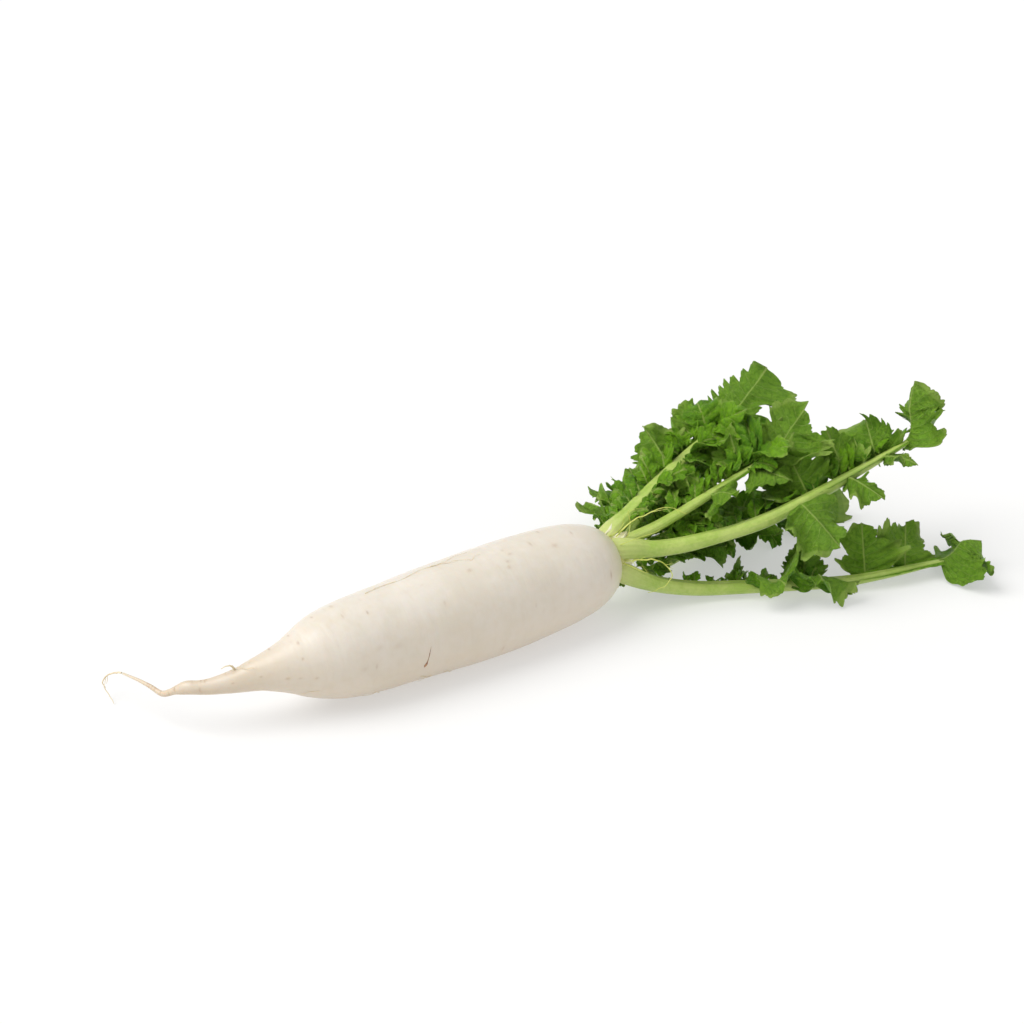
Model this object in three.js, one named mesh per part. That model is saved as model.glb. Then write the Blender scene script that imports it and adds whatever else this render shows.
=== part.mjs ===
// A white daikon radish with its leaves on, lying on its side as picked.
// Millimetres, +Z up. +X runs along the root from the tail towards the leaves, and -Y is the
// side that the lowest leaf spreads to. The origin is the middle of the flat the root rests on.
import * as THREE from "three";
import { mergeVertices } from "three/addons/utils/BufferGeometryUtils.js";

// ---------------------------------------------------------------- driving dimensions
const rootRadius = 35.3; // half the thickest part of the root
const restDepth = 0.7; // how far the root settles, which leaves the flat it rests on
const axisHeight = rootRadius - restDepth;
const gap = 0.4; // clearance between pieces that grow from one another
const shoulderEnd = 120; // where the root ends and the crown begins
const crownCentre = new THREE.Vector3(shoulderEnd - 2, 0, axisHeight + 2);
const crownRadius = 17;
const bladeThickness = 1.1;
const up = new THREE.Vector3(0, 0, 1);

// ---------------------------------------------------------------- shared shapes
const vec = (x, y, z) => new THREE.Vector3(x, y, z);

// Smooth value between evenly spaced samples, for t from 0 to 1.
function blend(samples, t) {
  return new THREE.SplineCurve(samples.map((s, i) => new THREE.Vector2(i, s))).getPoint(t).y;
}

// A round, closed bar of unit length and radius: rings at even heights between two end points.
function unitBar(rings, segments) {
  const profile = [new THREE.Vector2(0, 0)];
  for (let i = 0; i < rings; i += 1) profile.push(new THREE.Vector2(1, i / (rings - 1)));
  profile.push(new THREE.Vector2(0, 1));
  return new THREE.LatheGeometry(profile, segments, Math.PI / 2);
}

// Point, forward, side and face directions of a curve at t, with face kept near the given one.
function frameAt(curve, t, face) {
  const forward = curve.getTangentAt(t);
  const side = new THREE.Vector3().crossVectors(forward, face).normalize();
  return { point: curve.getPointAt(t), forward, side, face: side.clone().cross(forward) };
}

// Closes the seam of a lathed shape, so that it is one closed surface.
function closed(geometry) {
  geometry.deleteAttribute("uv");
  geometry.deleteAttribute("normal");
  return mergeVertices(geometry, 1e-3);
}

// Moves each point of a unit bar to place(t, x, z): t runs from 0 to 1 along the bar, and x and z
// are the point's place on the unit circle.
function bend(rings, segments, place) {
  const bar = unitBar(rings, segments);
  const points = bar.getAttribute("position");
  for (let i = 0; i < points.count; i += 1) {
    const t = THREE.MathUtils.clamp(points.getY(i), 0, 1);
    const p = place(t, points.getX(i), points.getZ(i));
    points.setXYZ(i, p.x, p.y, p.z);
  }
  return closed(bar);
}

// A bar along a curve. halves(t) gives its half width and half thickness at t.
function alongCurve(curve, face, rings, segments, halves) {
  return bend(rings, segments, (t, x, z) => {
    const at = frameAt(curve, t, face);
    const [halfWidth, halfThickness] = halves(t);
    return at.point.addScaledVector(at.side, x * halfWidth).addScaledVector(at.face, z * halfThickness);
  });
}

// ---------------------------------------------------------------- materials
const finish = (color, roughness) => new THREE.MeshStandardMaterial({ color, roughness, metalness: 0 });
const rootSkin = finish(0xe9dfd0, 0.42);
const crownGreen = finish(0xb9c274, 0.5);
const stalkGreen = finish(0xaec46c, 0.4);
const bladeGreen = finish(0x4f8a35, 0.55);
const threadTan = finish(0xdccb9a, 0.6);

const daikon = new THREE.Group();
function addPiece(name, geometry, material) {
  const mesh = new THREE.Mesh(geometry, material);
  mesh.name = name;
  daikon.add(mesh);
}

// ---------------------------------------------------------------- root
// Centre (x, y, z) and radius at stations from the tail to the shoulder.
const rootStations = [
  [-200, 70, 22, 0.7],
  [-197, 57, 23, 1.0],
  [-194, 45, 23, 1.4],
  [-190, 34, 23.5, 2.0],
  [-185, 27, 26, 3.1],
  [-179, 20, 28.5, 4.0],
  [-171, 15, 29, 4.8],
  [-162, 11, 30, 6.1],
  [-151, 7, 31.6, 8.1],
  [-139, 4, 33.4, 11.2],
  [-125, 1, 34, 16.4],
  [-110, 0, 33.8, 23.4],
  [-94, 0, 33.6, 28.4],
  [-72, 0, 33.4, 31.0],
  [-46, 0, 33.4, 32.6],
  [-18, 0, 33.7, 34.3],
  [14, 0, 34.3, 35.2],
  [38, 0, axisHeight, rootRadius],
  [60, 0, 35.3, 34.4],
  [80, 0, 36, 33.2],
  [95, 0, 36.2, 31.1],
  [106, 0, 36.4, 28],
  [113.5, 0, 36.5, 24.2],
  [118, 0, 36.5, 20.4],
  [shoulderEnd, 0, 36.5, 17],
];

function rootGeometry() {
  const rings = 44;
  const segments = 32;
  const curve = new THREE.CatmullRomCurve3(rootStations.map(([x, y, z]) => vec(x, y, z)));
  const radii = rootStations.map((s) => s[3]);
  return bend(rings, segments, (t, x, z) => {
    const forward = curve.getTangent(t);
    const side = new THREE.Vector3().crossVectors(forward, up).normalize();
    const face = side.clone().cross(forward);
    const r = blend(radii, t);
    const p = curve.getPoint(t).addScaledVector(side, x * r).addScaledVector(face, z * r);
    p.z = Math.max(p.z, 0); // pressed flat where it rests
    return p;
  });
}

addPiece("root", rootGeometry(), rootSkin);

// ---------------------------------------------------------------- crown
// The short leafy stem: a low dome on the root's shoulder, which the stalks grow out of.
function crownGeometry() {
  const base = shoulderEnd + gap - crownCentre.x;
  const steps = 8;
  const startAngle = Math.asin(base / crownRadius);
  const profile = [new THREE.Vector2(0, base)];
  for (let i = 0; i <= steps; i += 1) {
    const angle = startAngle + ((Math.PI / 2 - startAngle) * i) / steps;
    const radius = i === steps ? 0 : crownRadius * Math.cos(angle);
    profile.push(new THREE.Vector2(radius, crownRadius * Math.sin(angle)));
  }
  const dome = new THREE.LatheGeometry(profile, 24);
  dome.rotateZ(-Math.PI / 2);
  dome.translate(crownCentre.x, crownCentre.y, crownCentre.z);
  return closed(dome);
}

addPiece("crown", crownGeometry(), crownGreen);

// ---------------------------------------------------------------- leaves
// Each leaf is a stalk that runs on as its midrib, lobes along both sides of it, and an end lobe.
// clock: where it leaves the crown, in degrees, 0 to the front and 90 upwards. spread: how far
// it leans from the root's line there. through: points that its stalk passes. width: of the stalk
// at its foot. face: the direction of its upper side. lobes: [place along the stalk, side, length,
// width, forward lean, rise at the foot, rise at the tip], with the angles in degrees. end: the
// end lobe's [length, width, rise at the foot, rise at the tip].
const leaves = [
  {
    name: "leaf_1",
    clock: -25,
    spread: 60,
    through: [[150, -19, 17], [176, -26, 9.5], [217, -46, 7.5], [271, -74, 7.5], [338, -95, 11]],
    width: 15,
    face: [0, 0.1, 1],
    lobes: [
      [0.38, -1, 18, 14, 25, 40, 0],
      [0.47, 1, 32, 24, 10, 60, -45],
      [0.57, -1, 30, 22, 20, 75, 50],
      [0.59, 1, 42, 32, 0, 65, -48],
      [0.76, -1, 36, 32, 15, 70, 40],
      [0.89, -1, 34, 30, 30, 60, 30],
    ],
    end: [44, 46, 55, -50],
  },
  {
    name: "leaf_2",
    clock: 47,
    spread: 60,
    through: [[144, -14, 42], [172, -24, 44], [219, -42, 54], [287, -52, 73], [334, -56, 87]],
    width: 16,
    face: [-0.3, 0.5, 1],
    lobes: [
      [0.5, -1, 26, 20, 20, 30, -50],
      [0.64, -1, 34, 26, 15, 80, 60],
      [0.78, -1, 36, 28, 25, 75, 50],
      [0.9, -1, 34, 28, 40, 60, 20],
      [0.58, 1, 42, 36, 10, -45, -80],
      [0.76, 1, 30, 22, 30, -40, -80],
      [0.9, 1, 24, 18, 50, -20, -70],
    ],
    end: [42, 42, 65, 40],
  },
  {
    name: "leaf_3",
    clock: 92,
    spread: 28,
    through: [[150, -3, 49], [184, -7, 60], [217, -8, 70], [250, -9, 80]],
    width: 10.5,
    face: [-0.3, 0.2, 1],
    lobes: [
      [0.5, -1, 18, 14, 30, 60, 20],
      [0.58, 1, 20, 16, 30, 30, -40],
      [0.86, 1, 32, 26, 20, 0, -50],
      [0.84, -1, 28, 24, 30, 60, 20],
    ],
    end: [50, 44, 20, -20],
  },
  {
    name: "leaf_4",
    clock: 119,
    spread: 60,
    through: [[141, 12, 53], [166, 20, 61], [206, 30, 74], [252, 38, 90]],
    width: 14,
    face: [-0.4, -0.1, 1],
    lobes: [
      [0.48, 1, 22, 18, 30, -20, -60],
      [0.6, -1, 34, 28, 20, 30, -10],
      [0.76, 1, 30, 26, 30, 40, -10],
      [0.86, -1, 32, 26, 40, 30, -20],
    ],
    end: [54, 48, 10, -50],
  },
  {
    name: "leaf_5",
    clock: 263,
    spread: 60,
    through: [[143, 5, 12], [176, 15, 7.5], [229, 26, 7], [292, 22, 8]],
    width: 10,
    face: [0, 0, 1],
    lobes: [
      [0.52, 1, 26, 20, 30, 30, -20],
      [0.64, -1, 24, 20, 30, 30, -10],
      [0.78, 1, 32, 26, 30, 30, -20],
      [0.84, -1, 30, 24, 30, 40, -10],
    ],
    end: [52, 46, 20, -20],
  },
  {
    name: "leaf_6",
    clock: 191,
    spread: 60,
    through: [[140, 25, 31], [165, 48, 28], [205, 80, 20], [250, 106, 11]],
    width: 12,
    face: [0, -0.2, 1],
    lobes: [
      [0.46, -1, 28, 22, 30, 10, -40],
      [0.54, 1, 30, 24, 20, 20, -30],
      [0.66, -1, 34, 28, 30, 10, -40],
      [0.76, 1, 34, 28, 30, 20, -20],
      [0.88, -1, 30, 24, 40, 10, -20],
    ],
    end: [56, 48, 10, -10],
  },
  {
    name: "leaf_7",
    clock: 195,
    spread: 25,
    through: [[158, 20, 40], [192, 38, 47], [232, 54, 51], [266, 62, 49]],
    width: 9,
    face: [-0.1, -0.1, 1],
    lobes: [
      [0.5, -1, 24, 18, 30, 10, -40],
      [0.6, 1, 28, 22, 30, 10, -40],
      [0.78, -1, 32, 26, 30, 20, -30],
      [0.86, 1, 30, 24, 30, 20, -40],
    ],
    end: [52, 46, 0, -40],
  },
  {
    name: "leaf_8",
    clock: 0,
    spread: 0,
    through: [[152, 2, 37], [178, 5, 38], [206, 8, 40]],
    width: 7,
    face: [0, 0, 1],
    lobes: [
      [0.66, -1, 18, 14, 30, 30, 0],
      [0.74, 1, 20, 15, 30, 20, -10],
    ],
    end: [34, 26, 20, 0],
  },
];

const stalkRings = 18;
const stalkSegments = 8;
const lobeRings = 7;
const lobeSegments = 8;
const endRings = 8;
const endSegments = 12;
// Relative half widths, evenly spaced from foot to tip.
const stalkTaper = [1, 0.88, 0.8, 0.76, 0.72, 0.66, 0.57, 0.45, 0.3];
const lobeOutline = [0.16, 0.55, 0.88, 1, 0.94, 0.68, 0.24];
const endOutline = [0.2, 0.7, 0.96, 1, 0.94, 0.8, 0.56, 0.2];
const stalkDepth = 0.8; // thickness of a stalk for its width

function leafStalk(leaf) {
  const turn = THREE.MathUtils.degToRad(leaf.clock);
  const lean = THREE.MathUtils.degToRad(leaf.spread);
  const out = vec(Math.cos(lean), -Math.sin(lean) * Math.cos(turn), Math.sin(lean) * Math.sin(turn));
  const foot = crownCentre.clone().addScaledVector(out, crownRadius + gap);
  const rise = foot.clone().addScaledVector(out, 4);
  return new THREE.CatmullRomCurve3([foot, rise, ...leaf.through.map((p) => vec(...p))]);
}

function stalkGeometry(leaf, curve) {
  const face = vec(...leaf.face).normalize();
  return alongCurve(curve, face, stalkRings, stalkSegments, (t) => {
    const half = (leaf.width / 2) * blend(stalkTaper, t);
    return [half, half * stalkDepth];
  });
}

// The midline of a lobe, bent from its rise at the foot to its rise at the tip.
function lobeCurve(foot, outward, face, length, riseFoot, riseTip) {
  const heading = (rise) => {
    const angle = THREE.MathUtils.degToRad(rise);
    return outward.clone().multiplyScalar(Math.cos(angle)).addScaledVector(face, Math.sin(angle));
  };
  const middle = foot.clone().addScaledVector(heading(riseFoot), length / 2);
  const tip = middle.clone().addScaledVector(heading(riseTip), length / 2);
  return new THREE.QuadraticBezierCurve3(foot, middle, tip);
}

// A thin closed blade along a midline: widthAxis lies in the blade, and cup lifts its edges.
function bladeGeometry(curve, widthAxis, width, outline, rings, segments, cup) {
  return bend(rings, segments, (t, x, z) => {
    const forward = curve.getTangentAt(t);
    const face = new THREE.Vector3().crossVectors(widthAxis, forward).normalize();
    const side = new THREE.Vector3().crossVectors(forward, face);
    const spread = blend(outline, t);
    const lift = cup * x ** 2 * spread + z * (bladeThickness / 2);
    return curve.getPointAt(t).addScaledVector(side, x * spread * (width / 2)).addScaledVector(face, lift);
  });
}

function addLeaf(leaf) {
  const stalk = leafStalk(leaf);
  const face = vec(...leaf.face).normalize();
  addPiece(`${leaf.name}_stalk`, stalkGeometry(leaf, stalk), stalkGreen);
  const counts = { "-1": 0, 1: 0 };
  for (const [t, sign, length, width, lean, riseFoot, riseTip] of leaf.lobes) {
    const at = frameAt(stalk, t, face);
    const half = (leaf.width / 2) * blend(stalkTaper, t);
    const angle = THREE.MathUtils.degToRad(lean);
    const sideways = at.side.clone().multiplyScalar(sign);
    const outward = sideways.clone().multiplyScalar(Math.cos(angle));
    outward.addScaledVector(at.forward, Math.sin(angle));
    const clear = half + gap + bladeThickness + (width / 2) * lobeOutline[0] * Math.sin(angle);
    const foot = at.point.clone().addScaledVector(sideways, clear);
    const curve = lobeCurve(foot, outward, at.face, length, riseFoot, riseTip);
    const widthAxis = at.forward.clone().addScaledVector(sideways, -Math.sin(angle));
    counts[sign] += 1;
    const hand = sign > 0 ? "right" : "left";
    addPiece(
      `${leaf.name}_${hand}_lobe_${counts[sign]}`,
      bladeGeometry(curve, widthAxis.multiplyScalar(sign), width, lobeOutline, lobeRings, lobeSegments, -3),
      bladeGreen,
    );
  }
  const [length, width, riseFoot, riseTip] = leaf.end;
  const at = frameAt(stalk, 1, face);
  const foot = at.point.clone().addScaledVector(at.forward, gap + bladeThickness);
  const curve = lobeCurve(foot, at.forward, at.face, length, riseFoot, riseTip);
  addPiece(
    `${leaf.name}_end_lobe`,
    bladeGeometry(curve, at.side.clone().negate(), width, endOutline, endRings, endSegments, -5),
    bladeGreen,
  );
}

leaves.forEach(addLeaf);

// ---------------------------------------------------------------- threads
// Hair-thin pieces: the last of the tail, a rootlet that curls off it, and dry fibres at the
// crown. Each has its radius at the foot, its radius at the tip and the points it passes.
const threads = [
  {
    name: "tail_thread",
    radii: [0.6, 0.4],
    through: [
      [-200.3, 71.6, 21.9],
      [-203, 81, 18],
      [-206, 86, 13],
      [-207, 85, 8],
      [-206, 81, 4],
      [-206, 74, 1.2],
    ],
  },
  {
    name: "curled_rootlet",
    radii: [0.8, 0.4],
    through: [[-155, 9, 39.2], [-156.5, 8.5, 41.6], [-160, 9, 42.8], [-163, 10.5, 41]],
  },
  {
    name: "crown_thread_1",
    radii: [0.6, 0.4],
    through: [
      [129.6, -13.6, 39.2],
      [136, -24, 42],
      [147, -28, 38],
      [151, -31, 30],
      [145, -32, 23],
      [134, -29, 20],
    ],
  },
  {
    name: "crown_thread_2",
    radii: [0.6, 0.4],
    through: [
      [127, -2, 52],
      [133, -4, 59],
      [142, -8, 65],
      [153, -11, 68.5],
      [164, -14, 68],
      [172, -18, 63],
    ],
  },
];

const threadRings = 14;
const threadSegments = 6;
const threadFace = vec(0.2, 0.3, 1);

function addThread({ name, radii, through }) {
  const curve = new THREE.CatmullRomCurve3(through.map((p) => vec(...p)));
  const geometry = alongCurve(curve, threadFace, threadRings, threadSegments, (t) => {
    const radius = THREE.MathUtils.lerp(...radii, t);
    return [radius, radius];
  });
  addPiece(name, geometry, threadTan);
}

threads.forEach(addThread);

export default daikon;
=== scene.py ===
# The looks of a daikon radish with its leaves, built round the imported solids.
# Metres, +Z up, +X from the tail to the leaves. Each piece is shaped from the rings of its solid.
import bpy
import bmesh
import math
import numpy as np
from mathutils import Matrix, Vector


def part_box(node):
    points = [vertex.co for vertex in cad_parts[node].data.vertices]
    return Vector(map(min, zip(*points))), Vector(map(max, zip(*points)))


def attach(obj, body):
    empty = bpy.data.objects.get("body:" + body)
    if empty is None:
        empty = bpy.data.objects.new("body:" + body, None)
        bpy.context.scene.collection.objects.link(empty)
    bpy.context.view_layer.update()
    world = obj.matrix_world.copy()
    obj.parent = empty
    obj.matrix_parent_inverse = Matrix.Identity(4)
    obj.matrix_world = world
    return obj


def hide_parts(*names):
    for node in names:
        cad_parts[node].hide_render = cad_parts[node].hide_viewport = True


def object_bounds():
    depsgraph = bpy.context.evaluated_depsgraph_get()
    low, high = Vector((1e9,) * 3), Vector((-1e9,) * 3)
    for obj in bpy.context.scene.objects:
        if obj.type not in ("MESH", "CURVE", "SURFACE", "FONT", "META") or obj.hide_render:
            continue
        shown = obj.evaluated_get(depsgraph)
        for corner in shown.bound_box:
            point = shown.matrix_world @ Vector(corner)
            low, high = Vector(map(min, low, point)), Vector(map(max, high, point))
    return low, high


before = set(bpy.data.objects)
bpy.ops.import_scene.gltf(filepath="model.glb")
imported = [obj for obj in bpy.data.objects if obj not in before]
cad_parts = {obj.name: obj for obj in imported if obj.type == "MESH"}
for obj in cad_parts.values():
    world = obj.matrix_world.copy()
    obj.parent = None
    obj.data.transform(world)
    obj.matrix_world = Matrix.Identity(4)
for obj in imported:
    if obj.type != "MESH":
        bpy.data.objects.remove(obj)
cadBox = [list(corner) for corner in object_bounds()]
up = np.array([0.0, 0.0, 1.0])
mm = 0.001
weldWithin = 2e-5  # corners of a solid closer than this are one
noiseCells = 512
print("frame loaded:", len(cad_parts), "solids")


# the solids' own rings are read back, so every finished surface follows its solid

def orderedRing(points, links):
    # the points of one ring in order round it
    start = min(points, key=lambda v: v.index)
    ring, seen = [start], {start}
    while len(ring) < len(points):
        onward = [v for v in links[ring[-1]] if v in points and v not in seen]
        if not onward:
            break
        ring.append(onward[0])
        seen.add(onward[0])
    return np.array([v.co[:] for v in ring])


def alignedRing(ring, before):
    # the same ring, started and turned so that it runs like the one before it
    shape, like = ring - ring.mean(0), before - before.mean(0)
    choices = []
    for way in (shape, shape[::-1]):
        for shift in range(len(ring)):
            turned = np.roll(way, shift, axis=0)
            choices.append((((turned / np.abs(turned).max() - like / np.abs(like).max()) ** 2).sum(), turned))
    return min(choices, key=lambda c: c[0])[1] + ring.mean(0)


def readRings(node, near):
    # rings of the node's solid as an array (ring, point, xyz), from the end nearest to near
    solid = bmesh.new()
    solid.from_mesh(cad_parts[node].data)
    bmesh.ops.remove_doubles(solid, verts=solid.verts, dist=weldWithin)
    solid.verts.index_update()
    links = {v: [e.other_vert(v) for e in v.link_edges] for v in solid.verts}
    poles = [v for v in solid.verts if all(len(links[n]) == 5 for n in links[v])]
    start = min(poles, key=lambda v: (v.co - Vector(near)).length)
    level, layer, rings = {start: 0}, [start], []
    while True:
        onward = []
        for v in layer:
            for n in links[v]:
                if n not in level:
                    level[n] = level[v] + 1
                    onward.append(n)
        if len(onward) < 3:
            break
        rings.append(orderedRing(set(onward), links))
        layer = onward
    solid.free()
    aligned = [rings[0]]
    for ring in rings[1:]:
        aligned.append(alignedRing(ring, aligned[-1]))
    return np.array(aligned)


def unit(v):
    return v / np.maximum(np.linalg.norm(v, axis=-1, keepdims=True), 1e-12)


def between(a, b, c, d, f):
    # the smooth curve through four values, at share f of the way from b to c
    return 0.5 * (2 * b + (c - a) * f + (2 * a - 5 * b + 4 * c - d) * f**2 + (3 * b - a - 3 * c + d) * f**3)


def smoothAlong(values, t):
    # a smooth curve through evenly spaced values, at each t from 0 to 1
    values = np.asarray(values, float)
    ends = np.concatenate([[2 * values[0] - values[1]], values, [2 * values[-1] - values[-2]]])
    place = np.clip(t, 0, 1) * (len(values) - 1)
    i = np.minimum(place.astype(int), len(values) - 2)
    f = (place - i).reshape((-1,) + (1,) * (values.ndim - 1))
    return between(ends[i], ends[i + 1], ends[i + 2], ends[i + 3], f)


def travel(line):
    # the way covered from the start of a line to each of its points
    return np.concatenate([[0], np.cumsum(np.linalg.norm(np.diff(line, axis=0), axis=1))])


def stepsRound(count):
    return np.linspace(0, 2 * math.pi, count, endpoint=False)


def readSpine(node, near, samples=64):
    # centre line, side and face directions, half widths and cup of a flat loft
    rings = readRings(node, near)
    count = rings.shape[1]
    widest = rings[len(rings) // 2]
    spans = [np.linalg.norm(widest[i] - widest[(i + count // 2) % count]) for i in range(count // 2)]
    edge = int(np.argmax(spans))
    right, left = rings[:, edge], rings[:, (edge + count // 2) % count]
    quarter = count // 4
    above, below = rings[:, (edge + quarter) % count], rings[:, (edge - quarter) % count]
    centre = (above + below) / 2
    lift = centre - (right + left) / 2
    t = np.linspace(0, 1, samples)
    line = smoothAlong(centre, t)
    side = unit(smoothAlong(right - left, t))
    forward = unit(np.gradient(line, axis=0))
    face = unit(np.cross(side, forward))
    if (smoothAlong(lift, t) * face).sum() < 0 or (np.abs(lift).max() < 1e-5 and face[:, 2].sum() < 0):
        side, face = -side, -face
    faceAtRings = smoothAlong(face, np.linspace(0, 1, len(rings)))
    return {
        "line": line,
        "side": side,
        "face": face,
        "half": np.linalg.norm(smoothAlong((right - left) / 2, t), axis=1),
        "cup": float(np.abs((lift * faceAtRings).sum(1)).max()),
        "depth": np.linalg.norm(above - below, axis=1) / 2,
    }


# smooth repeatable noise, and meshes made from grids of points

def fade(f):
    return f * f * (3 - 2 * f)


def noiseField(u, v, around, seed):
    # smooth noise from -1 to 1 at cell places u, and v that repeats every around cells
    cells = np.random.default_rng(seed).uniform(-1, 1, (noiseCells, around))
    ui, vi = np.floor(u).astype(int), np.floor(v).astype(int)
    fu, fv = fade(u - ui), fade(v - vi)
    low, high = (cells[k % noiseCells, vi % around] * (1 - fv) + cells[k % noiseCells, (vi + 1) % around] * fv
                 for k in (ui, ui + 1))
    return low * (1 - fu) + high * fu


def wander(places, seed):
    # smooth noise along one direction
    return noiseField(places, 0 * places, 1, seed)


def gridFaces(rows, cols, closed=False, first=0):
    r, c = np.meshgrid(np.arange(rows - 1), np.arange(cols if closed else cols - 1), indexing="ij")
    n = (c + 1) % cols
    faces = np.stack([r * cols + c, r * cols + n, (r + 1) * cols + n, (r + 1) * cols + c], axis=-1)
    return faces.reshape(-1, 4) + first


def roundNormals(points):
    # directions square to a grid whose rows are closed rings
    along = np.gradient(points, axis=0)
    across = (np.roll(points, -1, 1) - np.roll(points, 1, 1)) / 2
    return unit(np.cross(across, along))


def tubeFaces(rows, around):
    # faces of a tube whose ends are closed
    faces = gridFaces(rows, around, closed=True).tolist()
    return faces + [list(range(around)), [(rows - 1) * around + i for i in range(around)]]


def shellFaces(rows, cols):
    # faces of a thin closed sheet: one grid above, the same below, and the rim between them
    total = rows * cols
    faces = gridFaces(rows, cols).tolist() + gridFaces(rows, cols, first=total)[:, ::-1].tolist()
    rim = [r * cols for r in range(rows)] + [(rows - 1) * cols + c for c in range(1, cols)]
    rim += [r * cols + cols - 1 for r in range(rows - 2, -1, -1)] + list(range(cols - 2, 0, -1))
    return faces + [[a, b, b + total, a + total] for a, b in zip(rim, rim[1:] + rim[:1])]


def shellPoints(middle, thick):
    # the two sides of such a sheet
    return np.concatenate([(middle + thick).reshape(-1, 3), (middle - thick).reshape(-1, 3)])


def aboveFloor(points, clear=0.0):
    # no point lower than this much above the floor
    points[..., 2] = np.maximum(points[..., 2], cadBox[0][2] + clear)
    return points


def facesOut(piece):
    # every face turned to look outwards
    mesh = bmesh.new()
    mesh.from_mesh(piece.data)
    bmesh.ops.recalc_face_normals(mesh, faces=mesh.faces)
    mesh.to_mesh(piece.data)
    mesh.free()


def makePiece(name, points, faces, material, maps=None, tones=None):
    # a smooth mesh with its material, its maps for the shader and its tints
    mesh = bpy.data.meshes.new(name)
    mesh.from_pydata(points.reshape(-1, 3).tolist(), [], faces)
    mesh.validate()
    for mapName, coords in (maps or {}).items():
        layer = mesh.uv_layers.new(name=mapName)
        corner = np.zeros(len(mesh.loops), int)
        mesh.loops.foreach_get("vertex_index", corner)
        layer.data.foreach_set("uv", coords.reshape(-1, 2)[corner].astype(np.float32).ravel())
    if tones is not None:
        layer = mesh.color_attributes.new(name="tone", type="FLOAT_COLOR", domain="POINT")
        full = np.ones((len(mesh.vertices), 4), np.float32)
        full[:, :3] = tones.reshape(-1, 3)
        layer.data.foreach_set("color", full.ravel())
    mesh.polygons.foreach_set("use_smooth", [True] * len(mesh.polygons))
    mesh.materials.append(materials[material])
    mesh.update()
    piece = bpy.data.objects.new(name, mesh)
    bpy.context.scene.collection.objects.link(piece)
    facesOut(piece)
    return piece


def settle(piece, slot, *nodes):
    # rides on the one body and stands for its solids
    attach(piece, "root")
    if nodes:
        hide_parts(*nodes)
    return piece


def tubeMesh(line, radii, around):
    # points and faces of a closed round tube along a line
    line = np.asarray(line, float)
    forward = unit(np.gradient(line, axis=0))
    side = unit(np.cross(forward, np.where(np.abs(forward @ up)[:, None] > 0.95, [1.0, 0, 0], up)))
    for i in range(1, len(side)):  # carry the side along, so that the tube doesn't twist
        side[i] = unit(side[i - 1] - forward[i] * (side[i - 1] @ forward[i]))
    other = np.cross(forward, side)
    angles = stepsRound(around)
    ring = np.cos(angles)[None, :, None] * side[:, None] + np.sin(angles)[None, :, None] * other[:, None]
    points = line[:, None] + ring * np.asarray(radii, float).reshape(-1, 1, 1)
    return points.reshape(-1, 3), tubeFaces(len(line), around)


def joinMeshes(parts):
    # several (points, faces) as one
    points, faces, base = [], [], 0
    for p, f in parts:
        points.append(p)
        faces += [[base + i for i in face] for face in f]
        base += len(p)
    return np.concatenate(points), faces


# shader groups shared by the materials: they give colours, masks and heights only

def newGroup(name, inputs, outputs):
    tree = bpy.data.node_groups.new(name, "ShaderNodeTree")
    for label, kind, value in inputs:
        socket = tree.interface.new_socket(name=label, in_out="INPUT", socket_type="NodeSocket" + kind)
        if value is not None:
            socket.default_value = value
    for label, kind in outputs:
        tree.interface.new_socket(name=label, in_out="OUTPUT", socket_type="NodeSocket" + kind)
    return tree, tree.nodes.new("NodeGroupInput").outputs, tree.nodes.new("NodeGroupOutput").inputs


def feed(tree, socket, value):
    # a link from another socket, or a fixed value
    if isinstance(value, bpy.types.NodeSocket):
        tree.links.new(value, socket)
    elif socket.type == "RGBA" and len(value) == 3:
        socket.default_value = (*value, 1.0)
    else:
        socket.default_value = value


def add(tree, kind, values=None, **props):
    node = tree.nodes.new(kind)
    for key, value in props.items():
        setattr(node, key, value)
    for socket, value in (values or {}).items():
        feed(tree, node.inputs[socket], value)
    return node


def calc(tree, operation, a, b=0.0, clamp=False):
    return add(tree, "ShaderNodeMath", {0: a, 1: b}, operation=operation, use_clamp=clamp).outputs[0]


def times(tree, a, b, clamp=False):
    return calc(tree, "MULTIPLY", a, b, clamp)


def inverse(tree, value):
    return calc(tree, "SUBTRACT", 1.0, value)


def mapRange(tree, value, low, high, toLow=0.0, toHigh=1.0):
    values = {"Value": value, "From Min": low, "From Max": high, "To Min": toLow, "To Max": toHigh}
    return add(tree, "ShaderNodeMapRange", values, interpolation_type="SMOOTHSTEP").outputs[0]


def mixColour(tree, factor, a, b):
    return add(tree, "ShaderNodeMix", {0: factor, 6: a, 7: b}, data_type="RGBA").outputs[2]


def noise(tree, vector, scale, detail=3.0, roughness=0.55):
    values = {"Vector": vector, "Scale": scale, "Detail": detail, "Roughness": roughness}
    return add(tree, "ShaderNodeTexNoise", values).outputs["Fac"]


def cellNoise(tree, vector, scale, feature):
    values = {"Vector": vector, "Scale": scale}
    return add(tree, "ShaderNodeTexVoronoi", values, feature=feature).outputs["Distance"]


def stretched(tree, vector, scale):
    return add(tree, "ShaderNodeVectorMath", {0: vector, 1: scale}, operation="MULTIPLY").outputs[0]


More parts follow.
